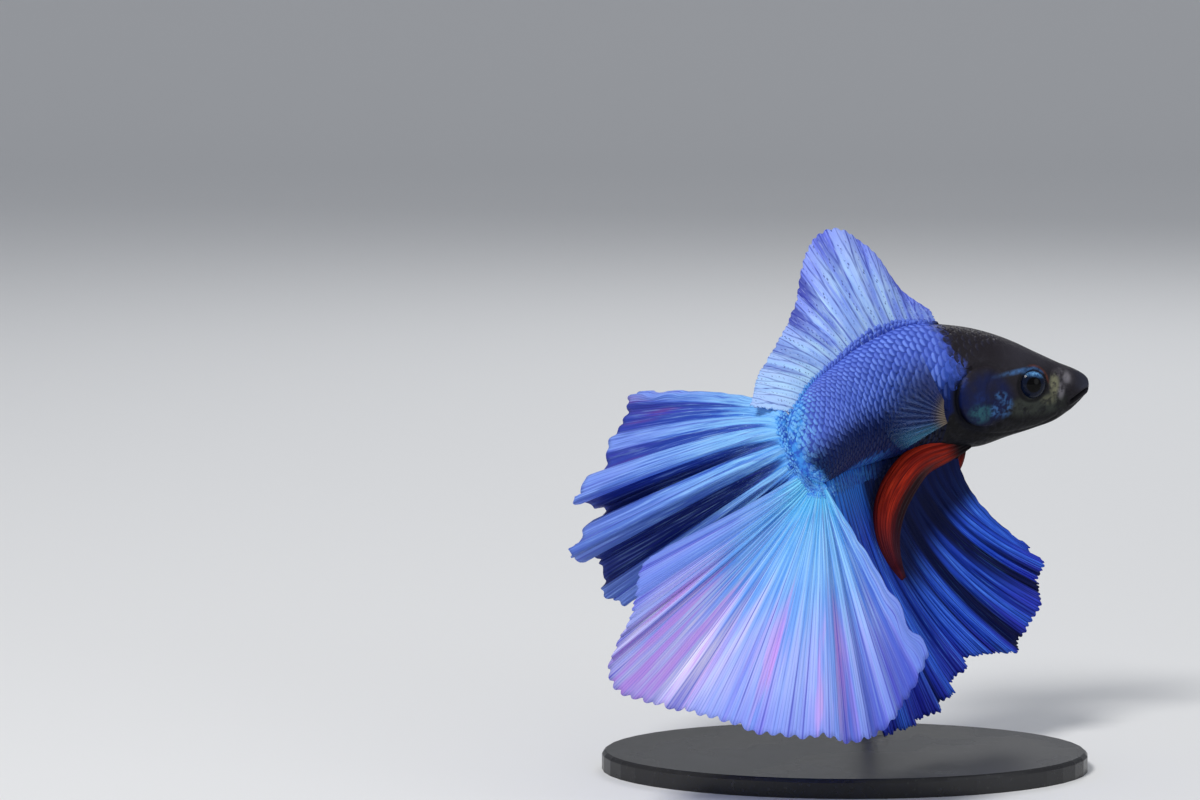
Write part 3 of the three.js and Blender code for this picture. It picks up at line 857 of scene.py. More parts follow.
def model_fin(name, surface, grid, rays, thick, rib, fray, fold_gap, seed, shade=None):
    """A fin as a closed thin sheet, ribbed by its rays and slightly frayed at its margin.

    Its fold map holds painted light on crests and painted shade in hollows, or follows shade's
    rows of share of the margin and painted lightness, where given.
    """
    rng = np.random.default_rng(seed)
    count, splits = rays
    ends = count * 2 ** len(splits)

    def margin(u):
        """How far the margin falls back: between the rays' ends, in nicks and in slow waves."""
        between = smooth_step(0.1, 0.5, ray_fold(u, np.ones_like(u), count, splits) * ends / count)
        nicks = np.interp(u * ends, np.arange(ends + 1), rng.uniform(0, 1, ends + 1))
        slow = np.interp(u * count, np.arange(count + 1), rng.uniform(0, 1, count + 1))
        return fray * (0.9 * between + 0.8 * nicks + 0.6 * slow)

    def shape(u, v):
        crinkle = 0.005 * v * (1 + np.sin(9 * v + seed) * np.sin(47 * v))
        u = u + crinkle * ((1 - smooth_step(0, 0.03, u)) - smooth_step(0.97, 1, u))
        reach = v * (1 - margin(u) * v**8)
        normal = right_normal(surface, u, reach)
        gap = ray_fold(u, reach, count, splits)
        split_so_far = sum(smooth_step(begins, finish, reach) for begins, finish in splits)
        width = 0.2 / 2**split_so_far
        relief = rib * np.exp(-((gap / width) ** 2)) * (0.4 + 0.6 * (1 - reach**3))
        # painted light on fold crests and painted shade in hollows, from how far each crest stands out
        fold_shading = stands_out(surface, u, reach, normal, fold_gap)
        fold_shading += 0.6 * stands_out(surface, u, reach, normal, 2.2 * fold_gap)
        # where a shade table is given, the painted light and shade follow it, with a little of the
        # crests'
        if shade is not None:
            own = 1.15 * np.interp(u, *np.transpose(shade)) * smooth_step(0.1, 0.4, reach)
            fold_shading = 0.12 * fold_shading + own
        return surface(u, reach) + normal * relief[:, None], np.clip(0.5 + fold_shading, 0, 1)

    fin = fin_grid(name, *grid, shape)
    shell = fin.modifiers.new("membrane", "SOLIDIFY")
    shell.thickness = thick * MM
    shell.offset = 0
    return fin


def ray_lines(nodes, u, v, count, splits):
    """0 on a ray and 1 halfway to the next one, for rays that split at the given shares."""
    place = nodes.math("FRACT", nodes.times(u, count))
    place = nodes.math("ABSOLUTE", nodes.plus(place, -0.5))
    gap = 0.5
    for order, (begins, ends) in enumerate(splits):
        share = nodes.ramp(v, begins, ends)
        place = nodes.math("ABSOLUTE", nodes.line(share, -0.25 / 2**order, place))
        gap = nodes.line(share, -0.25 / 2**order, gap)
    return nodes.math("DIVIDE", place, gap, clamp=True)


def streaks(nodes, u, v, across, along, offset=0.0):
    """Noise drawn out along the rays."""
    inputs = {0: nodes.times(u, across), 1: nodes.times(v, along), 2: offset}
    point = nodes.add("ShaderNodeCombineXYZ", inputs)
    return nodes.noise(point.outputs[0], 1.0, 3)


def dress_fin(fin, finish, slot, *nodes):
    fin.data.materials.append(finish)
    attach(fin, "root")
    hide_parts(*nodes)


def finish_membrane(nodes, shader, colour, hair, lines, strength):
    """Gives a fin its colours, a dull gloss and the fine relief of its rays."""
    inputs = {
        "Base Color": colour,
        "Normal": nodes.relief(nodes.line(lines, -0.7, hair), strength, 0.00008),
        "Roughness": nodes.ramp(hair, 0.3, 0.7, 0.45, 0.65),
        "Specular IOR Level": 0.1,
    }
    nodes.fill(shader, inputs)


# number of rays at the root, and the shares of their length over which they split
TAIL_RIBS = (23, ((0.05, 0.22), (0.25, 0.45)))
TAIL_FINE = (23, ((0.05, 0.22), (0.25, 0.45), (0.45, 0.65), (0.68, 0.88)))
# painted shade colour for the hollows of the fins' folds
VALLEY_SHADE = (0.002, 0.006, 0.055)


def tail_material():
    material, nodes, shader = new_material("tail membrane")
    ramp, times, mix = nodes.ramp, nodes.times, nodes.mix
    u, v, _ = nodes.uv("Rays")
    fold_shading = nodes.uv("FoldShading")[0]
    lines = ray_lines(nodes, u, v, *TAIL_FINE)
    rays = ray_lines(nodes, u, v, *TAIL_RIBS)
    wide = streaks(nodes, u, v, 26, 1.0)
    narrow = streaks(nodes, u, v, 110, 1.8, 4.0)
    hair = streaks(nodes, u, v, 620, 6.0, 9.0)
    speckle = streaks(nodes, u, v, 420, 60.0, 2.0)
    blots = streaks(nodes, u, v, 64, 2.2, 12.0)
    out = nodes.plus(v, nodes.line(narrow, 0.5, -0.25))

    # lower lobe: cyan root, sky blue, lilac towards the margin, pink streaks, violet-blue edge
    root = mix(ramp(narrow, 0.38, 0.62), (0.07, 0.42, 0.85), (0.2, 0.68, 0.98))
    sky = mix(ramp(narrow, 0.4, 0.6), (0.12, 0.36, 0.92), (0.28, 0.62, 1.0))
    lilac = mix(ramp(narrow, 0.4, 0.62), (0.2, 0.25, 0.9), (0.42, 0.42, 1.0))
    blush = mix(ramp(narrow, 0.36, 0.6), (0.56, 0.54, 1.0), (0.9, 0.84, 1.0))
    left = times(ramp(u, 0.56, 0.63), ramp(u, 0.8, 0.7))
    lower = Paint(nodes, mix(ramp(out, 0.2, 0.62), root, sky))
    lower.over(lilac, ramp(out, 0.55, 0.92, 0, 0.85))
    violet = times(ramp(wide, 0.54, 0.64), ramp(out, 0.45, 0.8, 0, 0.55))
    lower.over((0.18, 0.12, 0.8), violet, nodes.line(left, -0.7, 1.0))
    lower.over(blush, left, ramp(out, 0.6, 0.92, 0, 0.95))
    middle = times(ramp(u, 0.77, 0.8), ramp(u, 0.91, 0.88), ramp(wide, 0.44, 0.54))
    zone = times(ramp(out, 0.6, 0.82), ramp(out, 1.05, 0.93))
    pink = times(nodes.math("MAXIMUM", left, middle), zone, ramp(blots, 0.46, 0.58))
    lower.over((0.68, 0.34, 0.94), pink, 0.8)
    lower.over((0.66, 0.12, 0.55), pink, ramp(hair, 0.5, 0.66), 0.45)
    lower.over((0.16, 0.15, 0.8), ramp(out, 0.92, 1.06, 0, 0.7))
    side = nodes.math("MAXIMUM", ramp(u, 0.6, 0.545, 0, 0.8), ramp(u, 0.94, 1.0, 0, 0.8))
    lower.over((0.1, 0.12, 0.7), side, ramp(v, 0.3, 0.7), 0.7)
    lower.over((0.06, 0.1, 0.65), ramp(u, 0.87, 0.94), ramp(out, 0.78, 0.96), 0.4)

    # upper lobe: fine bright blue lines painted lit on the crests over royal blue, painted shade in
    # the valleys, violet and red tips
    upper = Paint(nodes, mix(ramp(out, 0.12, 0.55), (0.06, 0.3, 0.84), (0.03, 0.1, 0.6)))
    upper.over((0.045, 0.07, 0.5), ramp(out, 0.65, 0.98))
    # painted shade in the fold hollows, and over the upper lobe's lowest rays beside the lower lobe
    valley_shade = times(ramp(fold_shading, 0.49, 0.33), ramp(v, 0.08, 0.34, 0.15, 0.94))
    upper.over(VALLEY_SHADE, valley_shade, ramp(u, 0.06, 0.2, 0.3, 1))
    upper.over(VALLEY_SHADE, ramp(u, 0.33, 0.39), ramp(v, 0.2, 0.5, 0, 0.9))
    strand = nodes.plus(times(narrow, 0.55), times(hair, 0.45), ramp(u, 0.24, 0.08, 0, 0.05))
    # the fine lines are painted lit where they run over fold crests
    lit = times(ramp(strand, 0.44, 0.56), ramp(fold_shading, 0.36, 0.58, 0.16, 1))
    crest_light = mix(ramp(out, 0.4, 0.95), (0.24, 0.62, 1.0), (0.2, 0.3, 0.94))
    upper.over(crest_light, lit, ramp(u, 0.39, 0.33, 0.3, 1), 0.9)
    red = times(ramp(u, 0.12, 0.08), ramp(out, 0.82, 0.95), ramp(wide, 0.5, 0.6))
    upper.over((0.4, 0.05, 0.16), red, 0.45)

    # both lobes: painted shade in the fold hollows and painted light on the crests, dark skin between
    # the rays, violet rays, light hairs
    tail = Paint(nodes, mix(ramp(u, 0.47, 0.51), upper.colour, lower.colour))
    tail.over((0.015, 0.04, 0.38), ramp(fold_shading, 0.46, 0.3, 0, 0.4))
    tail.over((0.3, 0.55, 1.0), ramp(fold_shading, 0.53, 0.68, 0, 0.25))
    tail.over((0.03, 0.05, 0.5), ramp(lines, 0.6, 0.98), ramp(hair, 0.35, 0.6, 0.05, 0.42))
    ray = times(ramp(rays, 0.22, 0.05), ramp(narrow, 0.45, 0.6, 0.1, 0.65))
    tail.over((0.05, 0.05, 0.52), ray, ramp(v, 0.2, 0.4, 0.2, 1))
    tail.over((0.4, 0.66, 1.0), ramp(hair, 0.52, 0.7), ramp(v, 0.6, 1.0, 0.5, 0.2))
    tail.over((0.45, 0.72, 1.0), ramp(speckle, 0.6, 0.72, 0, 0.45), ramp(v, 0.75, 0.4))
    finish_membrane(nodes, shader, tail.colour, hair, lines, 0.45)
    return material


tail_shape = tail_surface()
tail = model_fin(
    "tail_membrane", tail_shape, (760, 64), TAIL_RIBS,
    thick=0.16, rib=0.06, fray=0.008, fold_gap=0.016, seed=3,
)
dress_fin(tail, tail_material(), "tail_fin", "tail_fin")

FIN_SCALE_LIFT = 0.09  # from the middle of the fin's skin, just over half its thickness


def lay_fin_scales(name, surface, rows, spots, seed, size, mark, kept=lambda u, v: 1.0):
    """Small scales on both faces of a fin's base. Mark gives station, height and angle."""
    rng = np.random.default_rng(seed)
    coat = Coat()
    for row, row_at in enumerate(rows):
        for number in range(spots):
            u = (number + 0.5 * (row % 2) + rng.uniform(0, 0.3)) / spots
            u = min(max(u, 0.004), 0.996)
            v = row_at * rng.uniform(0.93, 1.07)
            if rng.uniform() > kept(u, v):
                continue
            near = np.array([u]), np.array([v])
            root = surface(*near)[0]
            out = right_normal(surface, *near)[0]
            ahead = unit(surface(near[0], near[1] + 0.01)[0] - root)
            aside = np.cross(ahead, out)
            for face in (1, -1):
                plate = coat.plate()
                _, across, back = plate
                side, end = round_edge(across, back)
                lift = FIN_SCALE_LIFT + 0.025 * back + 0.01 * (1 - across**2)
                points = (
                    root
                    + (end * size * rng.uniform(0.85, 1.2))[:, None] * ahead
                    + (side * size * 0.45)[:, None] * aside
                    + (lift * face)[:, None] * out
                )
                coat.place(plate, points, *mark(u, v, face))
    coat.finish(name)


def mark_tail(u, v, face):
    around = math.pi / 2 - face * math.pi * u
    return 47.5 + 6 * v, 3.4 * math.cos(math.pi * u), around


def tail_scales_kept(u, v):
    """Scales run further out over the lower rays than over the upper ones."""
    reach = 0.1 + 0.1 * math.exp(-(((u - 0.84) / 0.13) ** 2))
    return 1.3 - v / reach


TAIL_SCALE_ROWS = np.arange(0.02, 0.25, 0.017)
lay_fin_scales(
    "tail_base_scales", tail_shape, TAIL_SCALE_ROWS,
    spots=34, seed=31, size=0.55, mark=mark_tail, kept=tail_scales_kept,
)

# ---- Back fin ----------------------------------------------------------------------------
# The fin on the back: a tall fan whose rays sweep towards the tail and shorten to its rear.
# Pale lavender skin between thin dark rays, dotted in rows across them.
# Key rays as for the tail fin.
DORSAL_RAYS = [
    (0, 0, 2, 111, 0, 0),
    (0.07, 0.07, 3.9, 113, -7, 0.1),
    (0.16, 0.13, 8.1, 111, -7, 0.15),
    (0.23, 0.18, 11, 112, -8, 0.2),
    (0.29, 0.23, 12.9, 116, -9, 0.2),
    (0.35, 0.29, 12.5, 121, -9, 0.25),
    (0.4, 0.34, 11.3, 124, -10, 0.25),
    (0.47, 0.4, 9, 131, -13, 0.3),
    (0.54, 0.46, 7.5, 139, -14, 0.3),
    (0.62, 0.54, 6.6, 147, -8, 0.3),
    (0.72, 0.65, 6, 157, 0, 0.25),
    (0.87, 0.84, 5.6, 164, 10, 0.2),
    (1, 1, 4.9, 168, 16, 0),
]
DORSAL_SPAN = (16.8, 45.6)
ROOT_DEPTH = 0.6


def midline_surface(rays, span, side, sweep, folds):
    """The surface of a fin that stands on the back (side 1) or under the belly (side -1)."""

    def station(share):
        return span[0] + (span[1] - span[0]) * share

    def root(share):
        around = np.full_like(share, side * math.pi / 2)
        return skin_point(station(share), around, -ROOT_DEPTH)

    def start(share):
        _, along, up, _ = spine_at(station(share))
        return unit(up * side + along * sweep(share)[..., None])

    return ray_surface(rays, root, start, 0.4, 9, folds)


DORSAL_RIBS = (24, ((0.66, 0.95),))


def dorsal_material():
    material, nodes, shader = new_material("back fin membrane")
    ramp, times = nodes.ramp, nodes.times
    u, v, _ = nodes.uv("Rays")
    fold_shading = nodes.uv("FoldShading")[0]
    lines = ray_lines(nodes, u, v, *DORSAL_RIBS)
    wide = streaks(nodes, u, v, 24, 1.5, 2.0)
    hair = streaks(nodes, u, v, 230, 8.0, 5.0)
    bands = streaks(nodes, u, v, 52, 1.6, 11.0)
    patchy = streaks(nodes, u, v, 60, 14.0, 7.0)

    # pale lavender, banded, deeper at the margin, the front and the root, painted shade in its fold
    # hollows, deepest by the rear margin, and painted light on the crests
    fin = Paint(nodes, nodes.mix(ramp(wide, 0.38, 0.62), (0.3, 0.48, 1.0), (0.46, 0.7, 1.0)))
    fin.over((0.13, 0.2, 0.86), ramp(bands, 0.48, 0.6), 0.6)
    fin.over((0.14, 0.16, 0.82), ramp(v, 0.6, 1.0, 0, 0.65))
    fin.over((0.09, 0.13, 0.68), ramp(u, 0.0, 0.26, 0.6, 0))
    fin.over((0.42, 0.7, 1.0), ramp(u, 0.45, 0.8, 0, 0.7))
    fin.over((0.09, 0.09, 0.6), ramp(v, 0.12, 0.02, 0, 0.7))
    # painted shade in the fold hollows, deeper near the rear margin, then painted light on the crests
    fin.over((0.04, 0.05, 0.45), ramp(fold_shading, 0.42, 0.2, 0, 0.45))
    rear = times(ramp(u, 0.3, 0.4), ramp(u, 0.62, 0.52))
    fin.over((0.03, 0.03, 0.3), ramp(v, 0.72, 0.95), ramp(fold_shading, 0.5, 0.42), rear, 0.6)
    fin.over((0.38, 0.5, 1.0), ramp(fold_shading, 0.56, 0.75, 0, 0.3))
    fin.over((0.03, 0.04, 0.36), ramp(lines, 0.26, 0.1), ramp(hair, 0.3, 0.6, 0.8, 0.4))

    # dots in rows between the rays, each row shifted against the last
    turn = nodes.math("FLOOR", times(u, DORSAL_RIBS[0]))
    beat = nodes.math("FRACT", nodes.line(turn, 0.37, times(v, 17)))
    beat = nodes.math("ABSOLUTE", nodes.plus(beat, -0.5))
    dot = times(ramp(lines, 0.66, 0.88), ramp(beat, 0.24, 0.1), ramp(v, 0.12, 0.3))
    dot = times(dot, ramp(patchy, 0.46, 0.56), ramp(wide, 0.4, 0.55, 0.35, 0.85))
    fin.over((0.02, 0.025, 0.24), dot)
    fin.over((0.5, 0.62, 1.0), ramp(hair, 0.52, 0.7), 0.45)
    between = nodes.math("SUBTRACT", 1.0, lines)
    finish_membrane(nodes, shader, fin.colour, hair, between, 0.4)
    return material


def mark_back(u, v, face):
    station = DORSAL_SPAN[0] + (DORSAL_SPAN[1] - DORSAL_SPAN[0]) * u
    return station, 6.2, math.pi / 2 - face * 0.08


DORSAL_FOLD_HEIGHTS = [(0, 0.05), (0.3, 0.22), (0.5, 0.34), (0.6, 0.22), (1, 0.2)]
dorsal_folds = uneven_folds(41, 26, DORSAL_FOLD_HEIGHTS)
dorsal_shape = midline_surface(
    DORSAL_RAYS, DORSAL_SPAN, 1, lambda share: 0.3 + 1.2 * share, dorsal_folds
)
dorsal = model_fin(
    "back_membrane", dorsal_shape, (380, 44), DORSAL_RIBS,
    thick=0.16, rib=0.06, fray=0.014, fold_gap=0.03, seed=5,
)
dress_fin(dorsal, dorsal_material(), "dorsal_fin", "dorsal_fin")
lay_fin_scales(
    "back_base_scales", dorsal_shape, (0.06, 0.1), spots=44, seed=37, size=0.7, mark=mark_back
)

# ---- Belly fin ---------------------------------------------------------------------------
# The long fin under the belly, from the vent to the tail stalk: deep royal blue, hanging in
# pleats that flare forwards. Its rays split twice. Key rays as for the tail fin.
ANAL_RAYS = [
    (0, 0, 14, 305, -9, 0.1),
    (0.1, 0.1, 17.9, 312, -10, 0.6),
    (0.19, 0.2, 21.7, 312, -9, 0.8),
    (0.3, 0.32, 26.2, 304, -9, 0.9),
    (0.4, 0.42, 25.7, 302, -10, 0.9),
    (0.52, 0.52, 24.9, 298, -9, 0.9),
    (0.63, 0.62, 26.8, 294, -8, 0.9),
    (0.74, 0.72, 27.8, 292, -8, 0.8),
    (0.86, 0.84, 28.3, 287, -7, 0.6),
    (1, 1, 28.1, 283, -8, 0.2),
]
ANAL_SPAN = (14.6, 45.8)
# share of the margin, and the fold's painted lightness there: painted light on crests above 0, painted
# shade in hollows below
ANAL_SHADE = [
    (0, 0.1), (0.02, 0), (0.04, 0.25), (0.065, -0.1), (0.085, 0.12), (0.103, -0.16),
    (0.125, 0.25), (0.142, -0.1), (0.158, 0.12), (0.18, -0.26), (0.215, -0.3), (0.235, 0),
    (0.255, 0.26), (0.278, -0.18), (0.305, -0.22), (0.33, 0.06), (0.355, 0.25), (0.38, -0.12),
    (0.41, 0.2), (0.434, -0.08), (0.46, 0.24), (0.5, 0.1), (0.53, 0.22), (0.56, -0.1),
    (0.6, 0.2), (0.63, -0.12), (0.67, 0.2), (0.71, -0.15), (0.75, 0.22), (0.79, -0.12),
    (0.83, 0.2), (0.87, -0.14), (0.91, 0.2), (0.95, -0.1), (1, 0.1),
]
ANAL_RIBS = (27, ((0.2, 0.45), (0.55, 0.8)))
ANAL_FINE = (27, ((0.2, 0.45), (0.5, 0.75), (0.75, 0.95)))


def anal_material():
    material, nodes, shader = new_material("belly fin membrane")
    ramp, times = nodes.ramp, nodes.times
    u, v, _ = nodes.uv("Rays")
    fold_shading = nodes.uv("FoldShading")[0]
    lines = ray_lines(nodes, u, v, *ANAL_FINE)
    wide = streaks(nodes, u, v, 22, 1.2, 3.0)
    hair = streaks(nodes, u, v, 330, 6.0, 6.0)

    # royal blue skin, sky blue at its rear root, violet at the margin, painted light on its crests and
    # painted shade in its hollows
    fin = Paint(nodes, nodes.mix(ramp(wide, 0.36, 0.62), (0.01, 0.035, 0.36), (0.02, 0.08, 0.62)))
    fin.over((0.02, 0.17, 0.66), ramp(v, 0.34, 0.08), ramp(u, 0.3, 0.6), 0.9)
    fin.over((0.045, 0.045, 0.6), ramp(v, 0.75, 1.0, 0, 0.6))
    grown = nodes.plus(v, ramp(u, 0.2, 0.02, 0, 0.3))
    crest_light = times(ramp(fold_shading, 0.52, 0.72), ramp(grown, 0.25, 0.55, 0.05, 0.9))
    fin.over((0.05, 0.18, 0.92), crest_light, ramp(hair, 0.35, 0.6, 0.45, 1))
    # painted shade in the fold hollows
    valley_shade = times(ramp(fold_shading, 0.46, 0.24), ramp(v, 0.08, 0.35, 0.2, 0.97))
    fin.over((0.0015, 0.003, 0.03), valley_shade, ramp(u, 0.02, 0.1, 0.25, 1))
    fin.over((0.04, 0.15, 0.75), ramp(u, 0.09, 0.03), ramp(v, 0.2, 0.4), 0.5)

    # dark skin between light rays, and the shade of the body over the root
    fin.over((0.003, 0.007, 0.09), ramp(lines, 0.55, 0.95), ramp(hair, 0.3, 0.55, 0.4, 0.75))
    # the light rays are painted brighter on the fold crests, as painted light
    light = times(ramp(lines, 0.3, 0.05), ramp(hair, 0.46, 0.68))
    fin.over((0.14, 0.4, 1.0), light, ramp(fold_shading, 0.4, 0.62, 0.16, 0.6))
    reach = nodes.math("SUBTRACT", v, ramp(u, 0.3, 0.45, 0, 0.12))
    fin.over((0.002, 0.005, 0.04), ramp(reach, 0.6, 0.42), ramp(u, 0.6, 0.5), 0.92)
    finish_membrane(nodes, shader, fin.colour, hair, lines, 0.5)
    return material


def mark_belly(u, v, face):
    station = ANAL_SPAN[0] + (ANAL_SPAN[1] - ANAL_SPAN[0]) * u
    return station, -5.2, -math.pi / 2 + face * 0.08


anal_broad = uneven_folds(51, 46, [(0, 0.1), (0.1, 0.3), (0.9, 0.3), (1, 0.2)])
anal_fine = uneven_folds(52, 130, [(0, 0.08), (0.1, 0.13), (0.9, 0.11), (1, 0.08)])
anal_shape = midline_surface(
    ANAL_RAYS, ANAL_SPAN, -1, lambda share: 0.7 * share**2, lambda u: anal_broad(u) + anal_fine(u)
)
anal = model_fin(
    "belly_membrane", anal_shape, (480, 52), ANAL_RIBS,
    thick=0.16, rib=0.07, fray=0.01, fold_gap=0.04, seed=9, shade=ANAL_SHADE,
)
dress_fin(anal, anal_material(), "anal_fin", "anal_fin")
lay_fin_scales(
    "belly_base_scales", anal_shape, (0.03, 0.05, 0.07),
    spots=46, seed=43, size=0.75, mark=mark_belly,
)

# ---- Pectoral fins -----------------------------------------------------------------------
# A small clear fan behind each gill cover, on a fleshy pale root, held off the flank. The
# skin between its fine grey rays is nearly glass-clear.
PECTORAL = {
    "station": 18.3,
    "height": -2.3,
    "length": 14.0,
    "root": 1.9,
    "fan": 27,  # in degrees, as tilt and flare
    "tilt": 19,
    "flare": 26,
}


def pectoral_surface(side):
    place, along, up, left = axes_at(PECTORAL["station"])
    out = left * side
    width = girth_at(np.array([PECTORAL["station"]]))[2][0]
    foot = place + up * PECTORAL["height"] + out * width * 0.86
    flare = math.radians(PECTORAL["flare"])

    def surface(u, v):
        spread = np.radians(PECTORAL["tilt"] + PECTORAL["fan"] * (1 - 2 * u))
        reach = PECTORAL["length"] * (0.69 + 0.31 * np.sin(math.pi * np.abs(u) ** 1.4)) * v
        level = np.cos(spread) * math.cos(flare) * reach
        rise = PECTORAL["root"] * (0.5 - u) + np.sin(spread) * reach
        aside = math.sin(flare) * reach
        return foot + rise[..., None] * up + level[..., None] * along + aside[..., None] * out

    return surface


PECTORAL_RIBS = (13, ((0.4, 0.8),))


def pectoral_material():
    material, nodes, shader = new_material("clear membrane")
    ramp, times, mix = nodes.ramp, nodes.times, nodes.mix
    u, v, _ = nodes.uv("Rays")
    lines = ray_lines(nodes, u, v, *PECTORAL_RIBS)
    hair = streaks(nodes, u, v, 46, 1.2, 2.0)
    ray = times(ramp(lines, 0.5, 0.12), ramp(hair, 0.3, 0.6, 0.4, 1))
    root = ramp(v, 0.3, 0.06)
    lower = times(ramp(u, 0.74, 0.96), ramp(hair, 0.3, 0.6, 0.4, 0.9))
    fin = Paint(nodes, mix(ramp(u, 0.05, 0.6), (0.03, 0.045, 0.17), (0.012, 0.035, 0.17)))
    fin.over(mix(ramp(u, 0.1, 0.6), (0.05, 0.065, 0.22), (0.07, 0.13, 0.36)), ray)
    fin.over((0.006, 0.01, 0.045), ramp(lines, 0.6, 0.9), ramp(v, 0.95, 0.3, 0.3, 1), 0.7)
    fin.over((0.06, 0.26, 0.4), lower)
    fin.over(mix(ramp(lines, 0.6, 0.3), (0.06, 0.045, 0.04), (0.26, 0.21, 0.16)), root)
    cover = times(nodes.math("MAXIMUM", ray, lower), 0.6)
    cover = nodes.math("MAXIMUM", cover, times(root, 0.95))
    cover = nodes.math("MAXIMUM", cover, 0.5)
    inputs = {
        "Base Color": fin.colour,
        "Alpha": times(cover, ramp(v, 0.5, 1.0, 1, 0.12)),
        "Roughness": ramp(hair, 0.3, 0.7, 0.3, 0.45),
        "Specular IOR Level": 0.1,
    }
    nodes.fill(shader, inputs)
    return material


clear_membrane = pectoral_material()
for side, word in ((-1, "right"), (1, "left")):
    pectoral = model_fin(
        f"pectoral_membrane_{word}", pectoral_surface(side), (150, 30), PECTORAL_RIBS,
        thick=0.08, rib=0.04, fray=0.02, fold_gap=0.05, seed=11 + side,
    )
    dress_fin(pectoral, clear_membrane, "pectoral_fin", f"pectoral_fin_{word}")

# ---- Pelvic fins -------------------------------------------------------------------------
# Two long narrow red sickles under the breast, a few rays each, with painted shadow darkening the
# inner half of each along its length.
# Courses: share of the length, direction in the XZ plane, lean towards -Y.
PELVIC = {"station": 13.6, "aside": 1.1, "width": 3.6}
PELVIC_RIGHT_COURSE = [
    (0, 196, 36),
    (0.22, 193, 41),
    (0.38, 222, 44),
    (0.55, 236, 52),
    (0.72, 259, 54),
    (0.86, 285, 28),
    (1, 302, 10),
]
PELVIC_LEFT_COURSE = [
    (0, 262, -38),
    (0.25, 235, -38),
    (0.5, 228, -34),
    (0.75, 256, -24),
    (1, 285, -12),
]
# name, side, length, course
PELVIC_FINS = [("right", -1, 24.4, PELVIC_RIGHT_COURSE), ("left", 1, 20, PELVIC_LEFT_COURSE)]


def pelvic_surface(side, length, course):
    course_at = smooth_through(course)
    steps = 240
    left = axes_at(PELVIC["station"])[3]
    belly = skin_point(np.array([PELVIC["station"]]), np.array([-math.pi / 2]), -0.8)[0]
    shares = (np.arange(steps) + 0.5) / steps
    moves = heading(*course_at(shares)) * length / steps
    centres = np.concatenate([[belly + left * side * PELVIC["aside"]], moves]).cumsum(axis=0)
    knots = np.linspace(0, 1, steps + 1)

    def surface(u, v):
        inside = np.clip(v, 0, 1)
        centre = np.stack([np.interp(inside, knots, centres[:, axis]) for axis in range(3)], -1)
        tangent = heading(*course_at(inside))
        broad = unit(np.cross(np.array([0.0, -1.0, 0.0]), tangent))
        width = PELVIC["width"] * np.sin(math.pi * (0.08 + 0.905 * inside)) ** 0.8
        ahead = ((v - inside) * length)[..., None] * tangent
        cup = 0.22 * width * (4 * (u - 0.5) ** 2 - 0.5) * smooth_step(0, 0.3, inside)
        hollow = cup[..., None] * np.cross(broad, tangent)
        return centre + ahead + hollow + ((u - 0.5) * width)[..., None] * broad

    return surface


PELVIC_RIBS = (5, ((0.25, 0.55),))


def pelvic_material():
    material, nodes, shader = new_material("red membrane")
    ramp = nodes.ramp
    u, v, _ = nodes.uv("Rays")
    lines = ray_lines(nodes, u, v, *PELVIC_RIBS)
    hair = streaks(nodes, u, v, 34, 5.0, 6.0)
    blush = streaks(nodes, u, v, 9, 2.0, 1.0)
    shaded_side = nodes.plus(u, nodes.line(hair, 0.5, -0.25))
    fin = Paint(nodes, nodes.mix(ramp(hair, 0.35, 0.65), (0.2, 0.008, 0.004), (0.52, 0.035, 0.012)))
    fin.over((0.09, 0.003, 0.004), ramp(blush, 0.42, 0.6, 0, 0.6))
    fin.over((0.04, 0.003, 0.005), ramp(lines, 0.6, 0.95, 0, 0.5))
    # painted shadow over the fin's inner half, where it folds away from the lamps
    fin.over((0.006, 0.003, 0.006), ramp(shaded_side, 0.5, 0.8), ramp(v, 0.12, 0.4, 0.3, 0.95))
    fin.over((0.03, 0.005, 0.014), ramp(v, 0.58, 0.95, 0, 0.9))
    fin.over((0.006, 0.004, 0.006), ramp(v, 0.16, 0.06))
    finish_membrane(nodes, shader, fin.colour, hair, lines, 0.4)
    return material


red_membrane = pelvic_material()
for word, side, length, course in PELVIC_FINS:
    pelvic = model_fin(
        f"pelvic_membrane_{word}", pelvic_surface(side, length, course), (60, 120), PELVIC_RIBS,
        thick=0.2, rib=0.06, fray=0.006, fold_gap=0.1, seed=17 + side,
    )
    dress_fin(pelvic, red_membrane, "pelvic_fin", f"pelvic_fin_{word}")

# ---- Stand -------------------------------------------------------------------------------
# An oval plate of black satin acrylic with a thin brushed steel rod in a turned collar. The
# rod rises on the fish's left, up to the lower flank.


def base_material():
    material, nodes, shader = new_material("black acrylic")
    dust = nodes.ramp(nodes.noise(nodes.place(), 2400, 2), 0.62, 0.75, 0, 0.12)
    cloud = nodes.noise(nodes.place(), 90, 4)
    inputs = {
        "Base Color": nodes.mix(dust, (0.012, 0.012, 0.014), (0.2, 0.2, 0.2)),
        "Roughness": nodes.ramp(cloud, 0.35, 0.65, 0.22, 0.34),
    }
    nodes.fill(shader, inputs)
    return material


def rod_material():
    material, nodes, shader = new_material("brushed steel")
    stretched = nodes.add("ShaderNodeMapping", {"Vector": nodes.place(), "Scale": (1, 1, 22)})
    brush = nodes.noise(stretched.outputs[0], 900, 3)
    inputs = {
        "Base Color": nodes.mix(brush, (0.5, 0.5, 0.51), (0.68, 0.68, 0.7)),
        "Roughness": nodes.ramp(brush, 0.3, 0.7, 0.24, 0.42),
        "Metallic": 1,
    }
    nodes.fill(shader, inputs)
    return material


def finish_node(name, material):
    """Gives a carried-over CAD node its material."""
    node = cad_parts[name]
    node.data.materials.clear()
    node.data.materials.append(material)


finish_node("stand_base", base_material())
finish_node("stand_rod", rod_material())

# ---- Studio ------------------------------------------------------------------------------
# A pale seamless sweep, soft lamps from above and in front, and a long lens that looks a
# little down at the fish's right side.


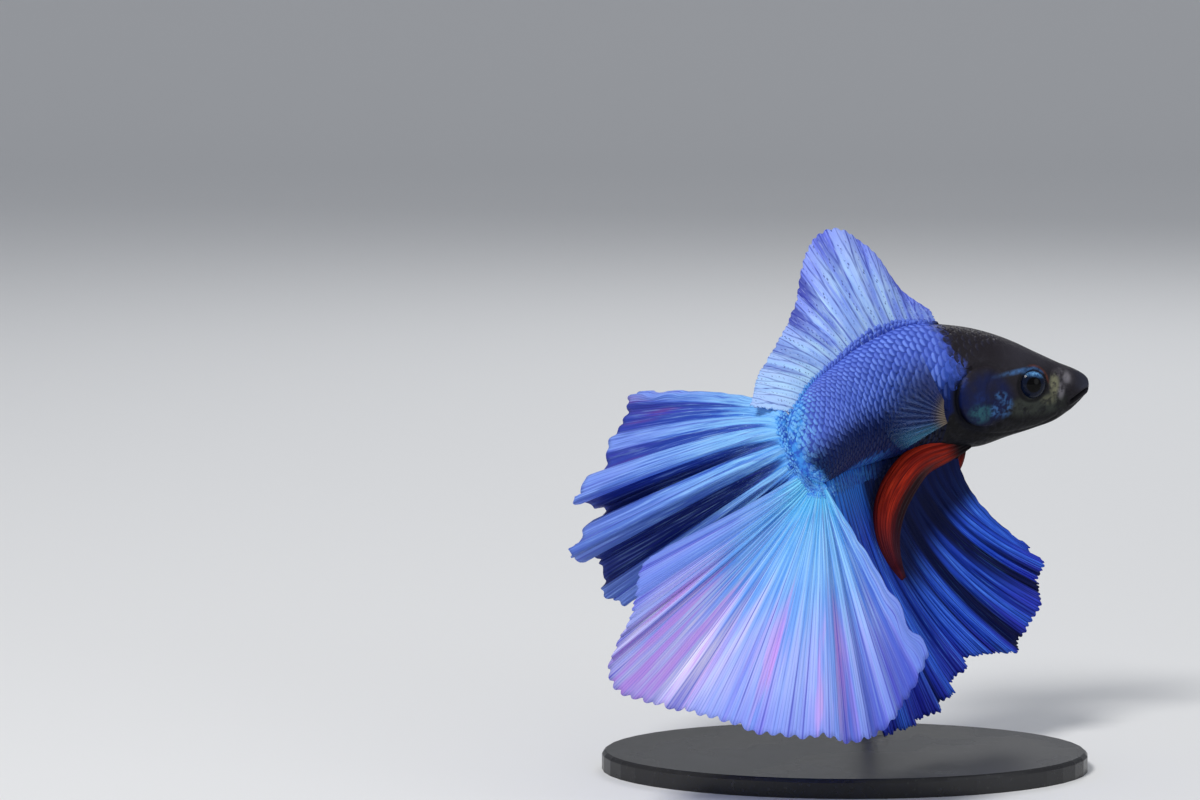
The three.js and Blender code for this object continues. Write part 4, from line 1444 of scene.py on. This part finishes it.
def model_sweep():
    bm = bmesh.new()
    near = bm.verts.new((-3, -2, 0))
    far = bm.verts.new((-3, 1.0, 0))
    edges = [bm.edges.new((near, far))]
    bend = bmesh.ops.spin(
        bm, geom=[far], cent=(-3, 1.0, 0.8), axis=(1, 0, 0), angle=math.pi / 2, steps=24
    )
    top = [v for v in bend["geom_last"] if isinstance(v, bmesh.types.BMVert)]
    rise = bmesh.ops.extrude_vert_indiv(bm, verts=top)["verts"]
    bmesh.ops.translate(bm, verts=rise, vec=(0, 0, 2))
    wall = bmesh.ops.extrude_edge_only(bm, edges=bm.edges[:])["geom"]
    moved = [v for v in wall if isinstance(v, bmesh.types.BMVert)]
    bmesh.ops.translate(bm, verts=moved, vec=(6, 0, 0))
    bmesh.ops.recalc_face_normals(bm, faces=bm.faces[:])
    return add_piece(bm, "studio_sweep")


sweep = model_sweep()
sweep_finish, sweep_nodes, sweep_shader = new_material("studio paper")
sweep_nodes.fill(sweep_shader, {"Base Color": (0.78, 0.79, 0.8), "Roughness": 0.9})
sweep.data.materials.append(sweep_finish)


def add_lamp(name, place, target, size, power, colour):
    lamp = bpy.data.lights.new(name, "AREA")
    lamp.shape = "DISK"
    lamp.size, lamp.energy, lamp.color = size, power, colour
    holder = bpy.data.objects.new(name, lamp)
    holder.location = place
    holder.rotation_euler = (Vector(target) - Vector(place)).to_track_quat("-Z", "Y").to_euler()
    bpy.context.collection.objects.link(holder)


add_lamp("key", (-0.25, -0.35, 0.55), (0, 0, 0.03), 0.2, 3.0, (1, 0.98, 0.95))
add_lamp("fill", (0.5, -0.45, 0.2), (0, 0, 0.03), 0.4, 0.5, (0.92, 0.96, 1))
add_lamp("rim", (0.1, 0.45, 0.4), (0, 0, 0.04), 0.25, 0.7, (1, 1, 1))

world = bpy.data.worlds.new("studio")
world.use_nodes = True
sky = world.node_tree.nodes["Background"]
Nodes(world.node_tree).fill(sky, {"Color": (0.9, 0.93, 1), "Strength": 0.37})
bpy.context.scene.world = world
bpy.context.scene.view_settings.view_transform = "Standard"

LOOK_DOWN = math.radians(7)
LENS_DISTANCE = 0.4
SNOUT_OFF_AIM = Vector((51.7, 2.0, 1.35))
aim = (Vector(SNOUT) - SNOUT_OFF_AIM) * MM
sight = Vector((0, math.cos(LOOK_DOWN), -math.sin(LOOK_DOWN)))
lens = bpy.data.cameras.new("camera")
lens.lens, lens.sensor_width = 114, 36
lens.clip_start, lens.clip_end = 0.01, 50
camera = bpy.data.objects.new("camera", lens)
camera.location = aim - sight * LENS_DISTANCE
camera.rotation_euler = sight.to_track_quat("-Z", "Y").to_euler()
bpy.context.collection.objects.link(camera)
bpy.context.scene.camera = camera
